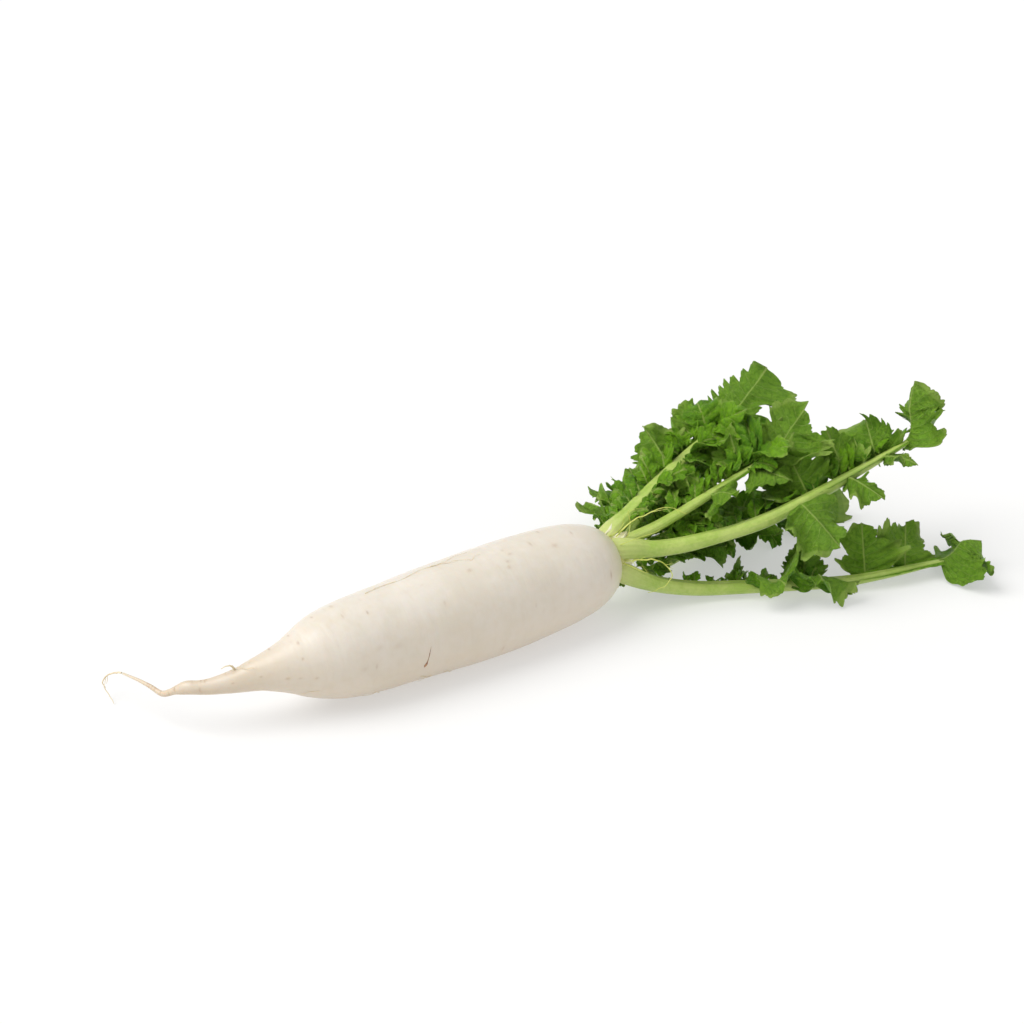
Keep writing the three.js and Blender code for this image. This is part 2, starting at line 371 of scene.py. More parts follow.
def buildMottle():
    # patches of a second tint, broad ones with finer ones in them
    tree, given, out = newGroup(
        "mottle",
        [("Vector", "Vector", None), ("Size", "Float", 40.0), ("Amount", "Float", 0.5),
         ("Low", "Color", (0, 0, 0, 1)), ("High", "Color", (1, 1, 1, 1))],
        [("Color", "Color"), ("Mask", "Float")],
    )
    broad = noise(tree, given["Vector"], given["Size"], 4.0, 0.6)
    fine = noise(tree, given["Vector"], times(tree, given["Size"], 7.0), 3.0)
    mixed = calc(tree, "ADD", times(tree, broad, 0.7), times(tree, fine, 0.3))
    mask = times(tree, mapRange(tree, mixed, 0.36, 0.64), given["Amount"], clamp=True)
    feed(tree, out["Color"], mixColour(tree, mask, given["Low"], given["High"]))
    feed(tree, out["Mask"], mask)
    return tree


def buildGrain():
    # height of fine grain, drawn out along one direction by Stretch
    tree, given, out = newGroup(
        "fineGrain",
        [("Vector", "Vector", None), ("Stretch", "Vector", (1, 1, 1)), ("Size", "Float", 400.0),
         ("Pits", "Float", 0.3)],
        [("Height", "Float")],
    )
    drawn = stretched(tree, given["Vector"], given["Stretch"])
    lines = noise(tree, drawn, given["Size"], 4.0, 0.6)
    cells = cellNoise(tree, drawn, given["Size"], "F1")
    pits = times(tree, mapRange(tree, cells, 0.0, 0.35, -1.0, 0.0), given["Pits"])
    feed(tree, out["Height"], calc(tree, "ADD", lines, pits))
    return tree


def buildVeins():
    # masks of a blade's veins: Place is (side vein count, way to the margin), Flat is in centimetres
    tree, given, out = newGroup(
        "bladeVeins",
        [("Place", "Vector", None), ("Flat", "Vector", None), ("Rib", "Float", 0.07),
         ("Vein", "Float", 0.055), ("Net", "Float", 9.0)],
        [("Main", "Float"), ("Fine", "Float"), ("CreaseAndShade", "Float")],
    )
    place = add(tree, "ShaderNodeSeparateXYZ", {0: given["Place"]}).outputs
    flat = add(tree, "ShaderNodeSeparateXYZ", {0: given["Flat"]}).outputs
    toMargin = calc(tree, "ABSOLUTE", place["Y"])
    wobble = times(tree, calc(tree, "SUBTRACT", noise(tree, given["Flat"], 1.3, 3.0), 0.5), 0.8)
    count = calc(tree, "ADD", place["X"], wobble)
    nearest = calc(tree, "ABSOLUTE", calc(tree, "SUBTRACT", count, calc(tree, "ROUND", count)))
    width = times(tree, given["Vein"], calc(tree, "SUBTRACT", 1.15, toMargin))
    sideVein = inverse(tree, mapRange(tree, calc(tree, "DIVIDE", nearest, width), 0.35, 1.0))
    offRib = calc(tree, "DIVIDE", calc(tree, "ABSOLUTE", flat["Y"]), given["Rib"])
    rib = inverse(tree, mapRange(tree, offRib, 0.5, 1.0))
    feed(tree, out["Main"], calc(tree, "MAXIMUM", rib, times(tree, sideVein, 0.5)))
    coarse = cellNoise(tree, given["Flat"], given["Net"], "DISTANCE_TO_EDGE")
    tiny = cellNoise(tree, given["Flat"], times(tree, given["Net"], 3.0), "DISTANCE_TO_EDGE")
    fine = calc(tree, "MAXIMUM", inverse(tree, mapRange(tree, coarse, 0.0, 0.09)),
                times(tree, inverse(tree, mapRange(tree, tiny, 0.0, 0.12)), 0.45))
    feed(tree, out["Fine"], fine)
    # the blade dips towards each side vein, more in some places than in others; the same mask paints shade
    # into these dips and into hollows
    dip = inverse(tree, mapRange(tree, nearest, 0.03, 0.34))
    patchy = mapRange(tree, noise(tree, given["Flat"], 1.6, 2.0), 0.35, 0.7)
    hollows = mapRange(tree, noise(tree, given["Flat"], 4.2, 2.0), 0.48, 0.62)
    feed(tree, out["CreaseAndShade"], calc(tree, "MAXIMUM", times(tree, dip, patchy), times(tree, hollows, 0.7)))
    return tree


groups = {"mottle": buildMottle(), "grain": buildGrain(), "veins": buildVeins()}


def useGroup(tree, name, values):
    return add(tree, "ShaderNodeGroup", values, node_tree=groups[name]).outputs


def newMaterial(name, settings):
    material = bpy.data.materials.new(name)
    material.use_nodes = True
    skin = material.node_tree.nodes["Principled BSDF"].inputs
    for socket, value in settings.items():
        skin[socket].default_value = value
    return material, material.node_tree, skin


def objectPlace(tree):
    return add(tree, "ShaderNodeTexCoord").outputs["Object"]


def mapPlace(tree, name):
    return add(tree, "ShaderNodeUVMap", uv_map=name).outputs["UV"]


def ownTones(tree):
    # the three masks that each mesh carries as its "tone" colour
    stored = add(tree, "ShaderNodeAttribute", attribute_name="tone").outputs["Color"]
    return add(tree, "ShaderNodeSeparateColor", {0: stored}).outputs


def bumpInto(tree, skin, height, distance, strength=1.0):
    bump = add(tree, "ShaderNodeBump", {"Height": height, "Strength": strength, "Distance": distance})
    feed(tree, skin["Normal"], bump.outputs["Normal"])


rootLook = {
    "cream": (0.735, 0.675, 0.575),
    "white": (0.80, 0.75, 0.68),
    "tan": (0.56, 0.42, 0.255),
    "pore": (0.35, 0.18, 0.085),
    "shoulder": (0.66, 0.66, 0.36),
    "patchSize": 22.0,
    "patches": 0.75,
    "rings": 0.07,  # how strongly the fine growth rings tint it
    # how strongly real tan and the painted shade of the underside tint it
    "tanAndShade": 0.75,
    "roughness": 0.36,
    "glow": 0.22,
    "depth": 0.004,
    "relief": 0.00022,
}


def rootMaterial():
    look = rootLook
    material, tree, skin = newMaterial("rootSkin", {
        "Subsurface Weight": look["glow"], "Subsurface Radius": (1.0, 0.62, 0.35),
        "Subsurface Scale": look["depth"], "Coat Weight": 0.12, "Coat Roughness": 0.22,
        "Specular IOR Level": 0.45,
    })
    where, tone = objectPlace(tree), ownTones(tree)
    patches = useGroup(tree, "mottle", {"Vector": where, "Size": look["patchSize"], "Amount": look["patches"],
                                        "Low": look["cream"], "High": look["white"]})
    rings = noise(tree, stretched(tree, where, (1.0, 0.16, 0.16)), 420.0, 3.0)
    ringed = mixColour(tree, mapRange(tree, rings, 0.5, 0.75, 0.0, look["rings"]), patches["Color"],
                       look["tan"])
    # the tone's green brings real tan and the painted shade of the underside
    tanAndShade = mixColour(tree, times(tree, tone["Green"], look["tanAndShade"]), ringed, look["tan"])
    greened = mixColour(tree, tone["Blue"], tanAndShade, look["shoulder"])
    feed(tree, skin["Base Color"], mixColour(tree, tone["Red"], greened, look["pore"]))
    shine = calc(tree, "ADD", mapRange(tree, patches["Mask"], 0, 1, -0.04, 0.05), look["roughness"])
    feed(tree, skin["Roughness"], calc(tree, "ADD", shine, times(tree, tone["Red"], 0.3)))
    fine = useGroup(tree, "grain", {"Vector": where, "Stretch": (1.0, 0.2, 0.2), "Size": 900.0, "Pits": 0.12})
    bumpInto(tree, skin, fine["Height"], look["relief"], 0.5)
    return material


stalkLook = {
    "pale": (0.52, 0.625, 0.175),
    "green": (0.355, 0.505, 0.085),
    "foot": (0.60, 0.635, 0.25),
    "line": (0.27, 0.41, 0.065),
    "patchSize": 60.0,
    "patches": 0.8,
    "streakSize": 26.0,
    "streaks": 0.55,
    "roughness": 0.38,
    "glow": 0.2,
    "depth": 0.003,
    "relief": 0.00025,
}


def stalkMaterial():
    look = stalkLook
    material, tree, skin = newMaterial("stalkSkin", {
        "Subsurface Weight": look["glow"], "Subsurface Radius": (0.7, 1.0, 0.3),
        "Subsurface Scale": look["depth"], "Specular IOR Level": 0.35, "Coat Weight": 0.15,
        "Coat Roughness": 0.25,
    })
    where, tone = objectPlace(tree), ownTones(tree)
    along = stretched(tree, mapPlace(tree, "barMap"), (3.0, 1.0, 1.0))
    patches = useGroup(tree, "mottle", {"Vector": where, "Size": look["patchSize"], "Amount": look["patches"],
                                        "Low": look["green"], "High": look["pale"]})
    streaks = noise(tree, along, look["streakSize"], 4.0, 0.65)
    lined = mixColour(tree, mapRange(tree, streaks, 0.52, 0.75, 0.0, look["streaks"]), patches["Color"],
                      look["line"])
    paler = mixColour(tree, tone["Red"], lined, look["foot"])
    # the tone's green darkens the far end, and paints shade on the underside
    feed(tree, skin["Base Color"], mixColour(tree, times(tree, tone["Green"], 0.6), paler, look["line"]))
    rough = look["roughness"]
    feed(tree, skin["Roughness"], mapRange(tree, streaks, 0.3, 0.7, rough - 0.05, rough + 0.1))
    fine = useGroup(tree, "grain", {"Vector": along, "Stretch": (1, 1, 1), "Size": 70.0, "Pits": 0.2})
    bumpInto(tree, skin, fine["Height"], look["relief"], 0.5)
    return material


bladeLook = {
    "deep": (0.058, 0.215, 0.004),
    "fresh": (0.235, 0.515, 0.011),
    "under": (0.220, 0.420, 0.036),
    "vein": (0.46, 0.62, 0.15),
    "creaseShade": (0.036, 0.140, 0.004),
    "yellow": (0.36, 0.40, 0.06),
    # how strongly the underside, the painted shade of the creases, the vein net, margin and veins are tinted
    "paleUnder": 0.72,
    "creases": 0.45,
    "net": 0.2,
    "margin": 0.35,
    "veins": 0.72,
    "patchSize": 55.0,
    "patches": 0.9,
    "roughness": 0.42,
    "glow": 0.1,
    "depth": 0.0012,
    "relief": 0.0007,
}


def bladeMaterial():
    look = bladeLook
    material, tree, skin = newMaterial("bladeSkin", {
        "Subsurface Weight": look["glow"], "Subsurface Radius": (0.5, 1.0, 0.15),
        "Subsurface Scale": look["depth"], "Specular IOR Level": 0.17, "Coat Weight": 0.03,
        "Coat Roughness": 0.25,
    })
    where, tone = objectPlace(tree), ownTones(tree)
    place, flat = mapPlace(tree, "veinMap"), mapPlace(tree, "flatMap")
    patches = useGroup(tree, "mottle", {"Vector": where, "Size": look["patchSize"], "Amount": look["patches"],
                                        "Low": look["deep"], "High": look["fresh"]})
    tinted = mixColour(tree, tone["Green"], patches["Color"], look["fresh"])
    sided = mixColour(tree, times(tree, tone["Red"], look["paleUnder"]), tinted, look["under"])
    yellowed = mixColour(tree, tone["Blue"], sided, look["yellow"])
    veins = useGroup(tree, "veins", {"Place": place, "Flat": flat})
    # painted shade: darker in the creases beside the side veins and in hollows
    shaded = mixColour(tree, times(tree, veins["CreaseAndShade"], look["creases"]), yellowed, look["creaseShade"])
    netted = mixColour(tree, times(tree, veins["Fine"], look["net"]), shaded, look["vein"])
    toMargin = calc(tree, "ABSOLUTE", add(tree, "ShaderNodeSeparateXYZ", {0: place}).outputs["Y"])
    edged = mixColour(tree, mapRange(tree, toMargin, 0.9, 1.0, 0.0, look["margin"]), netted, look["vein"])
    veined = mixColour(tree, times(tree, veins["Main"], look["veins"]), edged, look["vein"])
    feed(tree, skin["Base Color"], veined)
    rough, uneven = look["roughness"], noise(tree, flat, 6.0)
    feed(tree, skin["Roughness"], mapRange(tree, uneven, 0.3, 0.7, rough - 0.08, rough + 0.12))
    # the net, creases and veins are sunk, and a fine grain stands over them
    height = times(tree, veins["Fine"], -0.6)
    for mask, share in ((veins["CreaseAndShade"], -1.2), (veins["Main"], -0.5), (noise(tree, flat, 30.0, 3.0), 0.8)):
        height = calc(tree, "ADD", height, times(tree, mask, share))
    bumpInto(tree, skin, height, look["relief"])
    return material


# the small pieces: name, two tints, roughness, size of the patches and glow
smallLooks = {
    "crown": ("crownSkin", (0.40, 0.42, 0.10), (0.66, 0.64, 0.28), 0.45, 160.0, 0.2),
    "rootlet": ("rootletSkin", (0.66, 0.52, 0.30), (0.78, 0.69, 0.48), 0.5, 120.0, 0.15),
    "fibre": ("dryFibre", (0.48, 0.55, 0.07), (0.70, 0.74, 0.20), 0.45, 150.0, 0.15),
    "scratch": ("healedScratch", (0.20, 0.065, 0.03), (0.50, 0.27, 0.13), 0.55, 500.0, 0.05),
    "scale": ("paperyScale", (0.62, 0.60, 0.30), (0.84, 0.82, 0.62), 0.5, 200.0, 0.2),
}


def smallMaterial(name, low, high, roughness, size, glow):
    # two tints in patches, with a fine grain
    material, tree, skin = newMaterial(name, {
        "Subsurface Weight": glow, "Subsurface Radius": (1.0, 0.8, 0.4), "Subsurface Scale": 0.001,
    })
    where = objectPlace(tree)
    patches = useGroup(tree, "mottle", {"Vector": where, "Size": size, "Amount": 1.0, "Low": low,
                                        "High": high})
    feed(tree, skin["Base Color"], patches["Color"])
    feed(tree, skin["Roughness"], mapRange(tree, patches["Mask"], 0, 1, roughness - 0.08, roughness + 0.1))
    fine = useGroup(tree, "grain", {"Vector": where, "Stretch": (1, 1, 1), "Size": 1500.0, "Pits": 0.3})
    bumpInto(tree, skin, fine["Height"], 0.0001, 0.6)
    return material


materials = {"root": rootMaterial(), "stalk": stalkMaterial(), "blade": bladeMaterial()}
for part, look in smallLooks.items():
    materials[part] = smallMaterial(*look)
print("materials made:", len(materials))


rootShape = {
    "rows": 540,
    "around": 180,
    "thin": 18 * mm,  # less of every relief where the radius is below this
    "lumps": 0.55 * mm,
    "ripples": 0.10 * mm,
    "wrinkles": 0.035 * mm,
    "creases": 0.16,  # millimetres, and how much more at the tail
    "tailCreases": 0.5,
    "pores": 150,
    "poreRows": (0.0, 0.5),  # turns round the root where most pores stand
    "poreHeight": 0.22 * mm,
    "hump": 1.2 * mm,
    "dip": 2.2 * mm,
    "paintedShadeHeight": 0.062,  # the painted shade of the underside fades out this high up
    "shoulderGreen": 0.62,
    # tan stains: how far along from the tail end, height angle in degrees, size, strength
    "stains": [
        (309, 68, 3.6, 0.9), (276, 75, 2.2, 0.8), (271, 67, 2.4, 0.9), (269, 60, 2.4, 0.8),
        (244, 72, 2.8, 0.9), (81, 24, 1.2, 1.0), (97, 20, 1.2, 0.9), (111, 3, 1.5, 0.8), (117, 1, 1.2, 0.7),
        (125, -1, 1.5, 0.7), (153, 2, 3.4, 0.4), (165, 22, 3.6, 0.4), (177, 18, 4.0, 0.35),
    ],
    "seed": 11,
}


def fromTheTop(rings):
    # every ring started at its top and run towards +Y
    middle = rings[len(rings) // 2]
    rings = np.roll(rings, -int(np.argmax(middle[:, 2] + 0.1 * middle[:, 1])), axis=1)
    middle = rings[len(rings) // 2]
    if middle[1, 1] < middle[-1, 1]:
        rings = np.concatenate([rings[:, :1], rings[:, :0:-1]], axis=1)
    return rings


def smoothRound(rings, rows, around):
    # a fine grid through closed rings, and the share of a turn at each column
    along = smoothAlong(rings, np.linspace(0, 1, rows))
    count = rings.shape[1]
    place = np.linspace(0, count, around, endpoint=False)
    i = place.astype(int)
    f = (place - i)[None, :, None]
    return between(*(along[:, (i + k) % count] for k in (-1, 0, 1, 2)), f), place / count


def skinNoise(s, turn, length, waves, seed, shift=0.0):
    # noise over the root or crown: length of a wave in millimetres, waves round, and cells moved along
    return noiseField(s / length + shift, turn * waves, waves, seed)


def rootMarks(s, turn, height, radius):
    # masks of the pores and the stains: s is millimetres along, height an angle in degrees
    shape = rootShape
    rng = np.random.default_rng(shape["seed"])
    pores, stains = np.zeros_like(s), np.zeros_like(s)
    # pores are short marks across the root, in two rows and scattered, more of them near the tail
    for _ in range(shape["pores"]):
        where = 22 + (s[-1, 0] - 34) * rng.random() ** 1.5
        inRow = rng.random() < 0.55
        turnAt = rng.choice(shape["poreRows"]) + rng.normal(0, 0.035) if inRow else rng.random()
        across = rng.uniform(0.7, 2.4)
        row = min(int(np.searchsorted(s[:, 0], where)), shape["rows"] - 1)
        around = 2 * math.pi * radius[row].mean() / mm
        off = ((turn - turnAt + 0.5) % 1 - 0.5) * around
        spot = np.exp(-((s - where) / 0.55) ** 2 - (off / across) ** 2)
        halo = np.exp(-((s - where) / 2.4) ** 2 - (off / (across * 2.2)) ** 2)
        dark = rng.uniform(0.1, 0.75) ** 1.4
        pores = np.maximum(pores, spot * dark)
        stains = np.maximum(stains, halo * dark * 0.5)
    grainy = np.clip(0.6 + 0.6 * skinNoise(s, turn, 1.3, 90, 12), 0, 1)
    for where, tilt, broad, strength in shape["stains"]:
        off = (height - tilt) * radius / mm * math.pi / 180
        spot = np.exp(-((s - where) / broad) ** 2 - (off / (broad * 0.7)) ** 2)
        stains = np.maximum(stains, spot * strength * grainy)
        pores = np.maximum(pores, 0.35 * spot**3 * strength)
    return pores, stains


def rootRelief(s, turn, room):
    # lumps, ripples, wrinkles and creases, all less where there is little room
    shape = rootShape
    out = shape["lumps"] * skinNoise(s, turn, 42, 5, 1) * room
    wavy = 1.3 * skinNoise(s, turn, 60, 4, 8)
    out += shape["ripples"] * skinNoise(s, turn, 7, 6, 2, wavy) * room
    out += shape["wrinkles"] * skinNoise(s, turn, 2.1, 9, 3) * room
    wavy = 0.8 * skinNoise(s, turn, 20, 6, 9)
    creases = np.clip(skinNoise(s, turn, 3.4, 5, 4, wavy) - 0.45, 0, 1)
    tail = np.clip(1 - (s - 40) / 90, 0, 1)
    return out - (shape["creases"] + shape["tailCreases"] * tail) * mm * creases * room


def buildRoot():
    shape = rootShape
    low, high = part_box("root")
    rings = fromTheTop(readRings("root", (low.x, high.y, low.z)))
    rows, n = shape["rows"], shape["around"]
    points, turn = smoothRound(rings, rows, n)
    centre = points.mean(1, keepdims=True)
    radius = np.linalg.norm(points - centre, axis=2)
    normals = roundNormals(points)
    if ((points - centre) * normals).sum() < 0:
        normals = -normals
    s = np.repeat(travel(centre[:, 0])[:, None], n, axis=1) / mm
    turn = np.repeat(turn[None], rows, axis=0)
    room = np.clip(radius / shape["thin"], 0.05, 1)
    height = np.degrees(np.arctan2(points[..., 2] - centre[..., 2], -(points[..., 1] - centre[..., 1])))
    pores, stains = rootMarks(s, turn, height, radius)
    out = rootRelief(s, turn, room)
    out += shape["poreHeight"] * (stains * 1.2 - pores * 1.3) * room
    # a hump on top and a dip where the tail begins
    out += shape["hump"] * np.exp(-((s - 53) / 5) ** 2) * np.clip(normals[..., 2], 0, 1)
    out -= shape["hump"] * 0.3 * np.exp(-((s - 44) / 4) ** 2)
    points = points + normals * out[..., None]
    points[..., 2] -= shape["dip"] * np.exp(-((s - 35) / 7) ** 2)
    points = aboveFloor(points)
    # tints: red is pore, green is tan with painted shade on the underside, blue is the green of the shoulder
    tan = np.clip(1.25 - s / 110, 0, 1) * (0.8 + 0.3 * skinNoise(s, turn, 18, 6, 5))
    # painted shade: the underside is tinted towards tan, less near the tail end
    paintedShadeBelow = np.clip(1 - (points[..., 2] - cadBox[0][2]) / shape["paintedShadeHeight"], 0, 1)
    tan = np.clip(tan + 0.85 * paintedShadeBelow * np.clip(s / 90, 0, 1) + 0.45 * stains, 0, 1)
    green = shape["shoulderGreen"] * np.clip((s / s[-1, 0] - 0.945) / 0.055, 0, 1) ** 1.4
    tones = np.stack([np.clip(pores * 0.8, 0, 1), tan * 0.8, green], axis=-1)
    # a point closes each end
    skin, tones = (np.concatenate([[grid[0].mean(0)], grid.reshape(-1, 3), [grid[-1].mean(0)]])
                   for grid in (points, tones))
    faces = gridFaces(rows, n, closed=True, first=1).tolist()
    faces += [[0, 1 + (j + 1) % n, 1 + j] for j in range(n)]
    last = 1 + (rows - 1) * n
    faces += [[rows * n + 1, last + j, last + (j + 1) % n] for j in range(n)]
    piece = makePiece("rootBody", skin, faces, "root", tones=tones)
    buildNick(points, normals)
    buildHairs(points, normals)
    return settle(piece, "root_skin", "root")


nickLook = {
    "x": -42 * mm,
    "z": 30 * mm,
    "length": 16 * mm,
    "lean": 16.0,  # degrees from straight round the root
    "width": 1.1 * mm,
    "raise": 0.10 * mm,
    "rows": 60,
    "cols": 9,
}


def buildNick(points, normals):
    # a small healed scratch low on the root's front: a narrow drop, widest at its foot
    look = nickLook
    row = int(np.argmin(np.abs(points[..., 0].mean(1) - look["x"])))
    ring = points[row]
    front = ring[:, 1] < ring[:, 1].mean()
    j = int(np.argmin(np.where(front, np.abs(ring[:, 2] - look["z"]), 9)))
    at, lengthwise, outward = ring[j], unit(points[row + 4, j] - ring[j]), normals[row, j]
    across = unit(np.cross(outward, lengthwise))
    across = across if across[2] > 0 else -across
    lean = math.radians(look["lean"])
    line = across * math.cos(lean) + lengthwise * math.sin(lean)
    sideways = unit(np.cross(line, outward))
    u, v = np.linspace(0, 1, look["rows"])[:, None], np.linspace(-1, 1, look["cols"])[None]
    drop = 0.28 + 0.72 * np.exp(-((u - 0.1) / 0.14) ** 2)
    taper = np.sqrt(np.clip(u * 9, 0, 1)) * drop * np.clip((1 - u) * 3, 0.1, 1)
    wide = look["width"] * taper * (1 + 0.25 * wander(u * 9, 71))
    flat = at + line * ((u - 0.5) * look["length"] + 0 * v)[..., None]
    flat = flat + sideways * (v * wide + 0.3 * mm * np.sin(u * 5))[..., None]
    nearby = slice(max(row - 30, 0), row + 30)
    near, nearNormals = points[nearby].reshape(-1, 3), normals[nearby].reshape(-1, 3)
    low = []
    for place in flat.reshape(-1, 3):  # each point drops on to the skin
        k = int(np.argmin(((near - place) ** 2).sum(1)))
        low.append(place - nearNormals[k] * ((place - near[k]) @ nearNormals[k]))
    low = np.array(low)
    rise = (look["raise"] * (1 - v**2) * (0.6 + 0.4 * taper) + 0.02 * mm + 0 * u).reshape(-1, 1)
    shell = np.concatenate([low + outward * rise, low - outward * 0.3 * mm])
    piece = makePiece("rootScratch", shell, shellFaces(look["rows"], look["cols"]), "scratch")
    return settle(piece, "root_skin")


crownShape = {
    "rows": 40,
    "around": 96,
    "spread": 104,  # degrees from its tip to its edge, just behind the solid's base
    "ridges": 0.5 * mm,
    "sunk": 2.4 * mm,  # how far its centre lies behind the solid's base
    # fibres, scales and sprouts: how many, and how far from the centre they start, in millimetres
    "fibres": 16,
    "fibreFrom": 16.5,
    "fibreRadius": 0.28 * mm,
    "fibreSeed": 41,
    "scales": 11,
    "scaleFrom": 15.4,
    "scaleRows": 22,
    "scaleCols": 13,
    "scaleSeed": 5,
    "sprouts": 9,
    "sproutFrom": 15.5,
    "sproutSeed": 87,
}


def crownCentre():
    low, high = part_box("crown")
    return np.array([low.x - crownShape["sunk"], (low.y + high.y) / 2, (low.z + high.z) / 2])


def outFromCrown(spread, clock):
    # the direction this far from +X, at this angle round it
    return np.array([math.cos(spread), math.sin(spread) * math.cos(clock),
                     math.sin(spread) * math.sin(clock)])


def buildCrown():
    shape = crownShape
    rows, n = shape["rows"], shape["around"]
    centre = crownCentre()
    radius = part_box("crown")[1].x - centre[0]
    t = np.linspace(0, 1, rows)
    angles = stepsRound(n)
    tilt = (1 - t) * math.radians(shape["spread"])
    x, r = radius * np.cos(tilt), (radius * np.sin(tilt))[:, None]
    points = np.stack([np.repeat(x[:, None], n, 1), r * np.cos(angles), r * np.sin(angles)], axis=-1)
    turn = np.repeat((angles / (2 * math.pi))[None], rows, 0)
    s = np.repeat((t * radius / mm * 1.6)[:, None], n, 1)
    bumps = skinNoise(s, turn, 2.2, 14, 21) + 0.6 * skinNoise(s, turn, 1.1, 30, 22)
    points += unit(points) * (shape["ridges"] * bumps)[..., None]
    piece = makePiece("crownBody", (points + centre).reshape(-1, 3), tubeFaces(rows, n), "crown")
    return settle(piece, "crown", "crown")


stalkShape = {
    "rows": 190,
    "around": 44,
    "ridges": 0.16 * mm,
    "groove": 0.22,
    "flare": 0.12,
    "sunk": 9 * mm,
    "easeFrom": 45 * mm,
    "easeTo": 75 * mm,
    "easeRounds": 300,
    "ridgeCount": 13,
    "samples": 120,
}


def readStalk(leaf):
    # the stalk's spine with its face up, and its depth at the same places as the rest
    samples = stalkShape["samples"]
    spine = readSpine(leaf + "_stalk", crownCentre(), samples)
    if spine["face"][:, 2].sum() < 0:
        spine["face"], spine["side"] = -spine["face"], -spine["side"]
    return {**spine, "deep": smoothAlong(spine["depth"], np.linspace(0, 1, samples))}


def eased(values, weight, rounds):
    # kinks evened out where the weight is above 0, with both ends held
    weight = weight[1:-1].reshape((-1,) + (1,) * (values.ndim - 1))
    for _ in range(rounds):
        middle = values[1:-1] + (values[:-2] - 2 * values[1:-1] + values[2:]) * 0.25 * weight
        values = np.concatenate([values[:1], middle, values[-1:]])
    return values


def alongStalk(stalk, t):
    # centre, side, face and half width at places along the stalk
    return (smoothAlong(stalk["line"], t), unit(smoothAlong(stalk["side"], t)),
            unit(smoothAlong(stalk["face"], t)), smoothAlong(stalk["half"], t))


def buildStalk(leaf, stalk, seed):
    shape = stalkShape
    t = np.linspace(0, 1, shape["rows"])
    line, side, face, half = alongStalk(stalk, t)
    deep = smoothAlong(stalk["deep"], t)
    travelled = t * np.linalg.norm(np.diff(line, axis=0), axis=1).sum()
    weight = 1 - fade(np.clip((travelled - shape["easeFrom"]) / (shape["easeTo"] - shape["easeFrom"]), 0, 1))
    line, half, deep = (eased(values, weight, shape["easeRounds"]) for values in (line, half, deep))
    flare = 1 + shape["flare"] * np.exp(-travelled / (9 * mm))
    angles = stepsRound(shape["around"])
    c, s, turn = np.cos(angles), np.sin(angles), angles[None] / (2 * math.pi)
    upper = np.where(s > 0, 1 - shape["groove"] * np.exp(-(c / 0.42) ** 2), 1.0)
    keel = np.where(s < 0, 1 + 0.06 * np.exp(-(c / 0.3) ** 2), 1.0)
    uneven = 0.7 + 0.5 * noiseField(travelled[:, None] / (30 * mm), turn * 7, 7, seed)
    ridges = shape["ridges"] * (np.cos(angles * shape["ridgeCount"])[None] * uneven)
    ridges = ridges * (1 + 1.2 * np.exp(-travelled / (18 * mm)))[:, None]
    bend = 0.35 * mm * noiseField(travelled[:, None] / (26 * mm), turn * 3, 3, seed + 1)
    relief = (ridges + bend) * np.clip(half / (6 * mm), 0.1, 1)[:, None]
    wide = (half * flare)[:, None] + relief
    thick = (deep * (1 + 0.3 * (flare - 1)))[:, None] + relief
    points = line[:, None] + side[:, None] * (c[None] * wide)[..., None]
    points += face[:, None] * (s * upper * keel * thick)[..., None]
    # the foot runs on into the crown
    back = unit(line[0] - line[3])
    feet = []
    for share, shrink in ((1.0, 0.6), (0.5, 0.92)):
        row = points[0] + back * shape["sunk"] * share
        feet.append(row.mean(0) + (row - row.mean(0)) * shrink)
    points = aboveFloor(np.concatenate([feet, points]))
    rows, n = points.shape[:2]
    run = np.concatenate([[-2 * shape["sunk"], -shape["sunk"]], travelled]) / mm
    barMap = np.stack([np.repeat((np.arange(n) / n)[None], rows, 0), np.repeat(run[:, None] / 40, n, 1)],
                      axis=-1)
    # tints: red is the pale foot, green the darker far end and painted shade on the underside
    foot = np.clip(1 - run / 16, 0, 1) ** 1.2
    # painted shade on the underside
    under = np.clip(-s, 0, 1)
    tones = np.zeros((rows, n, 3))
    tones[..., 0] = 0.7 * foot[:, None]
    tones[..., 1] = np.clip((run / run[-1] - 0.55) / 0.45, 0, 1)[:, None] * 0.5 + 0.15 * under[None]
    piece = makePiece(leaf + "_stalkSkin", points.reshape(-1, 3), tubeFaces(rows, n), "stalk",
                      {"barMap": barMap}, tones)
    return settle(piece, "stalk", leaf + "_stalk")


bladeShape = {
    "thickness": 0.42 * mm,
    "toothDepth": 0.20,
    "smallTeeth": 0.05,
    "ruffle": 0.42,
    "crumple": 3.8 * mm,
    "crumpleSize": 12 * mm,
    "pucker": 0.75 * mm,
    "puckerSize": 3.6 * mm,
    "pillow": 0.9 * mm,
    "vein": 0.30 * mm,
    "rib": 0.8 * mm,
    "thinnestRib": 0.12 * mm,
}
# share of the half width from the foot to the tip
lobeProfile = [0.30, 0.55, 0.82, 0.98, 1.0, 0.95, 0.86, 0.70, 0.44, 0.0]
endProfile = [0.26, 0.62, 0.88, 1.0, 0.97, 0.94, 0.90, 0.78, 0.52, 0.0]
# share of the way from the rib to the margin at each column of a blade
columnPlaces = np.array([0, 0.025, 0.05, 0.085, 0.14, 0.22, 0.32, 0.43, 0.55, 0.67, 0.78, 0.88, 0.95, 1.0])


